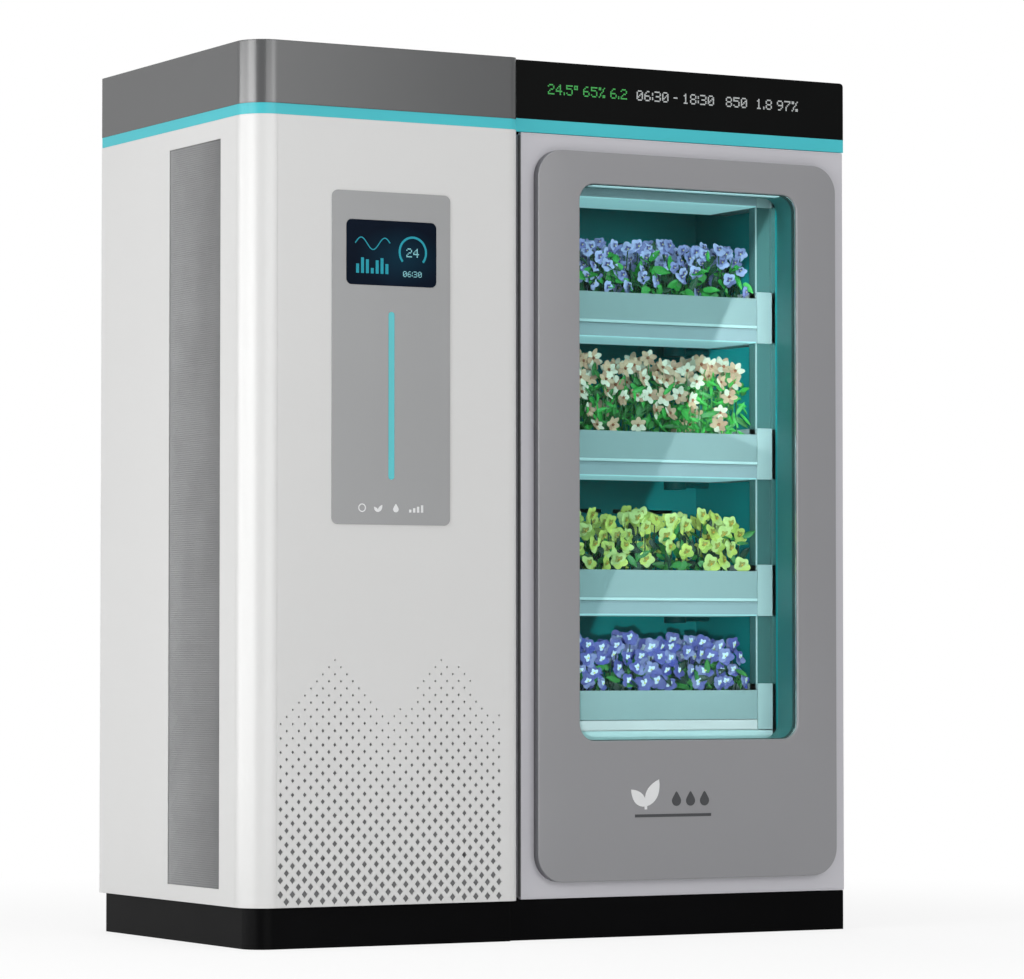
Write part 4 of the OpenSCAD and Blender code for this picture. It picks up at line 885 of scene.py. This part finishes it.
def plants():
    """Layers of blooms on stems over each tray, lowest row first, then leaves between them."""
    for k, info in enumerate(BEDS, 1):
        rng = random.Random(SHELF_SEED + k)
        bed = Bed()
        tlo, thi = corners(f"grow_tray_{k}")
        size, rows, top = info["size"], info["rows"], thi.z
        x0, x1, y0 = tlo.x + size * 0.40, thi.x - size * 0.45, tlo.y + BED_SETBACK

        def crest(x):
            return info["height"] * (0.93 + 0.05 * math.sin(x * 41 + k) + 0.03 * math.sin(x * 97 + 2 * k))

        for layer in range(LAYERS):
            for row, fill in enumerate(rows):
                rise = row / (len(rows) - 1)
                for col in range(info["cols"]):
                    if rng.random() > fill * (1 if layer == 0 else 0.3 + 0.7 * rise):
                        continue
                    u = (col + 0.5 + 0.25 * (-1) ** (row + layer) + rng.uniform(-0.22, 0.22)) / info["cols"]
                    x = x0 + (x1 - x0) * min(1, max(0, u))
                    z = size * 0.45 + (crest(x) - size * 0.85) * rise + rng.uniform(-0.006, 0.006)
                    y = y0 + layer * LAYER_STEP + 0.014 * rise + rng.uniform(-0.004, 0.008)
                    place = Vector((x, y, top + z))
                    normal = Vector((rng.uniform(-0.6, 0.6), -1, rng.uniform(-0.25, 0.6)))
                    info["kind"](bed, rng, place, normal, size * rng.uniform(0.85, 1.1))
                    foot = (x + rng.uniform(-0.01, 0.01), max(y + 0.012, y0 + 0.03), top - 0.004)
                    stem(bed, foot, place - normal.normalized() * 0.002)
        for i in range(info["leaves"]):
            x = x0 + (x1 - x0) * rng.random()
            z = (crest(x) * info["leaf_top"] - 0.012) * rng.random() ** 1.3 + 0.008
            y = y0 + 0.006 + 0.012 * rng.random() + (0.09 * rng.random() if i % 3 else 0.0)
            normal = Vector((rng.uniform(-0.9, 0.9), -1, rng.uniform(-0.3, 1.0)))
            leaf(bed, rng, Vector((x, y, top + z)), normal, rng.uniform(0.022, 0.040), info["slim"])
        obj = piece(f"flower_bed_{k}", bed.verts, bed.faces, info["mats"], f"tray_{k}", indices=bed.index,
                    slot=info["bloom"])
        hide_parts(f"plants_{k}")


intake()
rack()
lamp_bars()
tray_beads()
bezel()
door_edges()
perforation_cloth()
marks()
plants()


# Stage, lights and camera

def direct_rays(nd, ln):
    """One where the backdrop is seen straight, in a mirror or through glass, else nought."""
    path = nd.new("ShaderNodeLightPath")
    value = path.outputs["Is Camera Ray"]
    for kind in ("Is Transmission Ray", "Is Glossy Ray"):
        either = nd.new("ShaderNodeMath")
        either.operation = "MAXIMUM"
        ln.new(value, either.inputs[0])
        ln.new(path.outputs[kind], either.inputs[1])
        value = either.outputs["Value"]
    return value


FLOOR_REACH, FADE_FROM, FADE_TO, FLOOR_GLOW = 60.0, 0.9, 2.6, 0.80
AMBIENT = 0.40
FOCAL_PX, PHOTO_PX = 4435.24, 1024
CAMERA_PLACE, CAMERA_PITCH, CAMERA_TURN = (-4.5026, -8.2319, 0.5743), 92.176, -29.132
BEAM_WAY, BEAM_SLANT, BEAM_STANDOFF = Vector((0.521, 0.852, 0.044)), Vector((0.445, 0, 0.8955)), 0.9
SHELF_WORDS = ("chamber_liner", "rack_frame", "lamp_", "grow_tray", "planting_deck", "tray_bead",
               "flower_bed")


def stage():
    scene = bpy.context.scene
    floor_mesh = bpy.data.meshes.new("floor")
    e = FLOOR_REACH
    floor_mesh.from_pydata([(-e, -e, 0), (e, -e, 0), (e, e, 0), (-e, e, 0)], [], [(0, 1, 2, 3)])
    floor = bpy.data.objects.new("floor", floor_mesh)
    scene.collection.objects.link(floor)
    m = bpy.data.materials.new("floor_white")
    m.use_nodes = True
    nd, ln = m.node_tree.nodes, m.node_tree.links
    bsdf = nd["Principled BSDF"]
    bsdf.inputs["Base Color"].default_value = (0.95, 0.95, 0.95, 1)
    bsdf.inputs["Roughness"].default_value = 0.9
    glow = nd.new("ShaderNodeEmission")
    glow.inputs["Color"].default_value = (1, 1, 1, 1)
    mix = nd.new("ShaderNodeMixShader")
    coord = nd.new("ShaderNodeTexCoord")
    far = nd.new("ShaderNodeVectorMath")
    far.operation = "LENGTH"
    ln.new(coord.outputs["Object"], far.inputs[0])
    fade = nd.new("ShaderNodeMapRange")
    fade.interpolation_type = "SMOOTHSTEP"
    fade.inputs["From Min"].default_value = FADE_FROM
    fade.inputs["From Max"].default_value = FADE_TO
    fade.inputs["To Min"].default_value = FLOOR_GLOW
    fade.inputs["To Max"].default_value = 1.0
    ln.new(far.outputs["Value"], fade.inputs["Value"])
    part = nd.new("ShaderNodeMath")
    part.operation = "MULTIPLY"
    ln.new(fade.outputs["Result"], part.inputs[1])
    ln.new(direct_rays(nd, ln), part.inputs[0])
    ln.new(part.outputs["Value"], mix.inputs["Fac"])
    ln.new(bsdf.outputs["BSDF"], mix.inputs[1])
    ln.new(glow.outputs["Emission"], mix.inputs[2])
    ln.new(mix.outputs["Shader"], nd["Material Output"].inputs["Surface"])
    floor_mesh.materials.append(m)

    world = bpy.data.worlds.new("studio")
    scene.world = world
    world.use_nodes = True
    nd, ln = world.node_tree.nodes, world.node_tree.links
    back = nd["Background"]
    back.inputs["Color"].default_value = (1, 1, 1, 1)
    level = nd.new("ShaderNodeMapRange")
    level.inputs["To Min"].default_value = AMBIENT
    level.inputs["To Max"].default_value = 1.0
    ln.new(direct_rays(nd, ln), level.inputs["Value"])
    ln.new(level.outputs["Result"], back.inputs["Strength"])

    def lamp(name, place, aim, size, power):
        data = bpy.data.lights.new(name, "AREA")
        data.shape = "RECTANGLE"
        data.size, data.size_y = size
        data.energy = power
        obj = bpy.data.objects.new(name, data)
        obj.location = place
        obj.rotation_euler = (Vector(aim) - Vector(place)).to_track_quat("-Z", "Y").to_euler()
        obj.visible_camera = False
        scene.collection.objects.link(obj)
        return obj

    corner = Vector((cad_box[0][0], cad_box[0][1], 1.0))
    lamp("key_left", (-5.6, -1.6, 2.6), (-0.4, -0.2, 0.9), (2.6, 3.2), 112)
    lamp("fill_front", (1.2, -6.5, 3.0), (0.1, -0.3, 0.9), (3.0, 3.0), 69)
    lamp("fill_back", (1.6, 6.0, 2.6), (0.1, 0.3, 0.9), (3.0, 3.0), 62)
    lamp("top", (0.0, -0.6, 4.6), (0.0, 0.0, 0.9), (3.0, 2.0), 40)
    softboxes = [lamp("softbox_left", corner + Vector((-3.19, 0.28, 0)), corner, (5.2, 2.6), 305),
                 lamp("softbox_front", corner + Vector((-0.03, -3.2, 0)), corner, (2.1, 2.6), 82)]
    for box in softboxes:
        box.visible_diffuse = False
        box.visible_transmission = False

    # A slanting beam that falls through the window onto the shelves alone
    inside = bpy.data.collections.new("inside")
    for obj in list(bpy.data.objects):
        if obj.type == "MESH" and obj.name.startswith(SHELF_WORDS):
            inside.objects.link(obj)
    lo, hi = corners("door_glass")
    mid = Vector((lo.x + 0.43 * (hi.x - lo.x), lo.y, lo.z + 0.55 * (hi.z - lo.z)))
    way = BEAM_WAY.normalized()
    along = (BEAM_SLANT - way * BEAM_SLANT.dot(way)).normalized()
    across = along.cross(-way)
    beams = (("beam_wide", 0.80, 2.4, 0.0, 2.6), ("beam_top", 0.20, 0.70, 0.40, 0.50))
    for name, wide, long, rise, power in beams:
        place = mid + across * wide / 2 + along * rise - way * BEAM_STANDOFF
        obj = lamp(name, place, mid, (wide, long), power)
        obj.rotation_euler = Matrix((across, along, -way)).transposed().to_euler()
        obj.data.spread = math.radians(1.0)
        obj.light_linking.receiver_collection = inside

    cam = bpy.data.cameras.new("camera")
    cam.sensor_width = 36.0
    cam.lens = cam.sensor_width * FOCAL_PX / PHOTO_PX
    cam.clip_end = 200
    obj = bpy.data.objects.new("camera", cam)
    obj.location = CAMERA_PLACE
    obj.rotation_euler = (math.radians(CAMERA_PITCH), 0, math.radians(CAMERA_TURN))
    scene.collection.objects.link(obj)
    scene.camera = obj
    scene.view_settings.view_transform = "Standard"


stage()
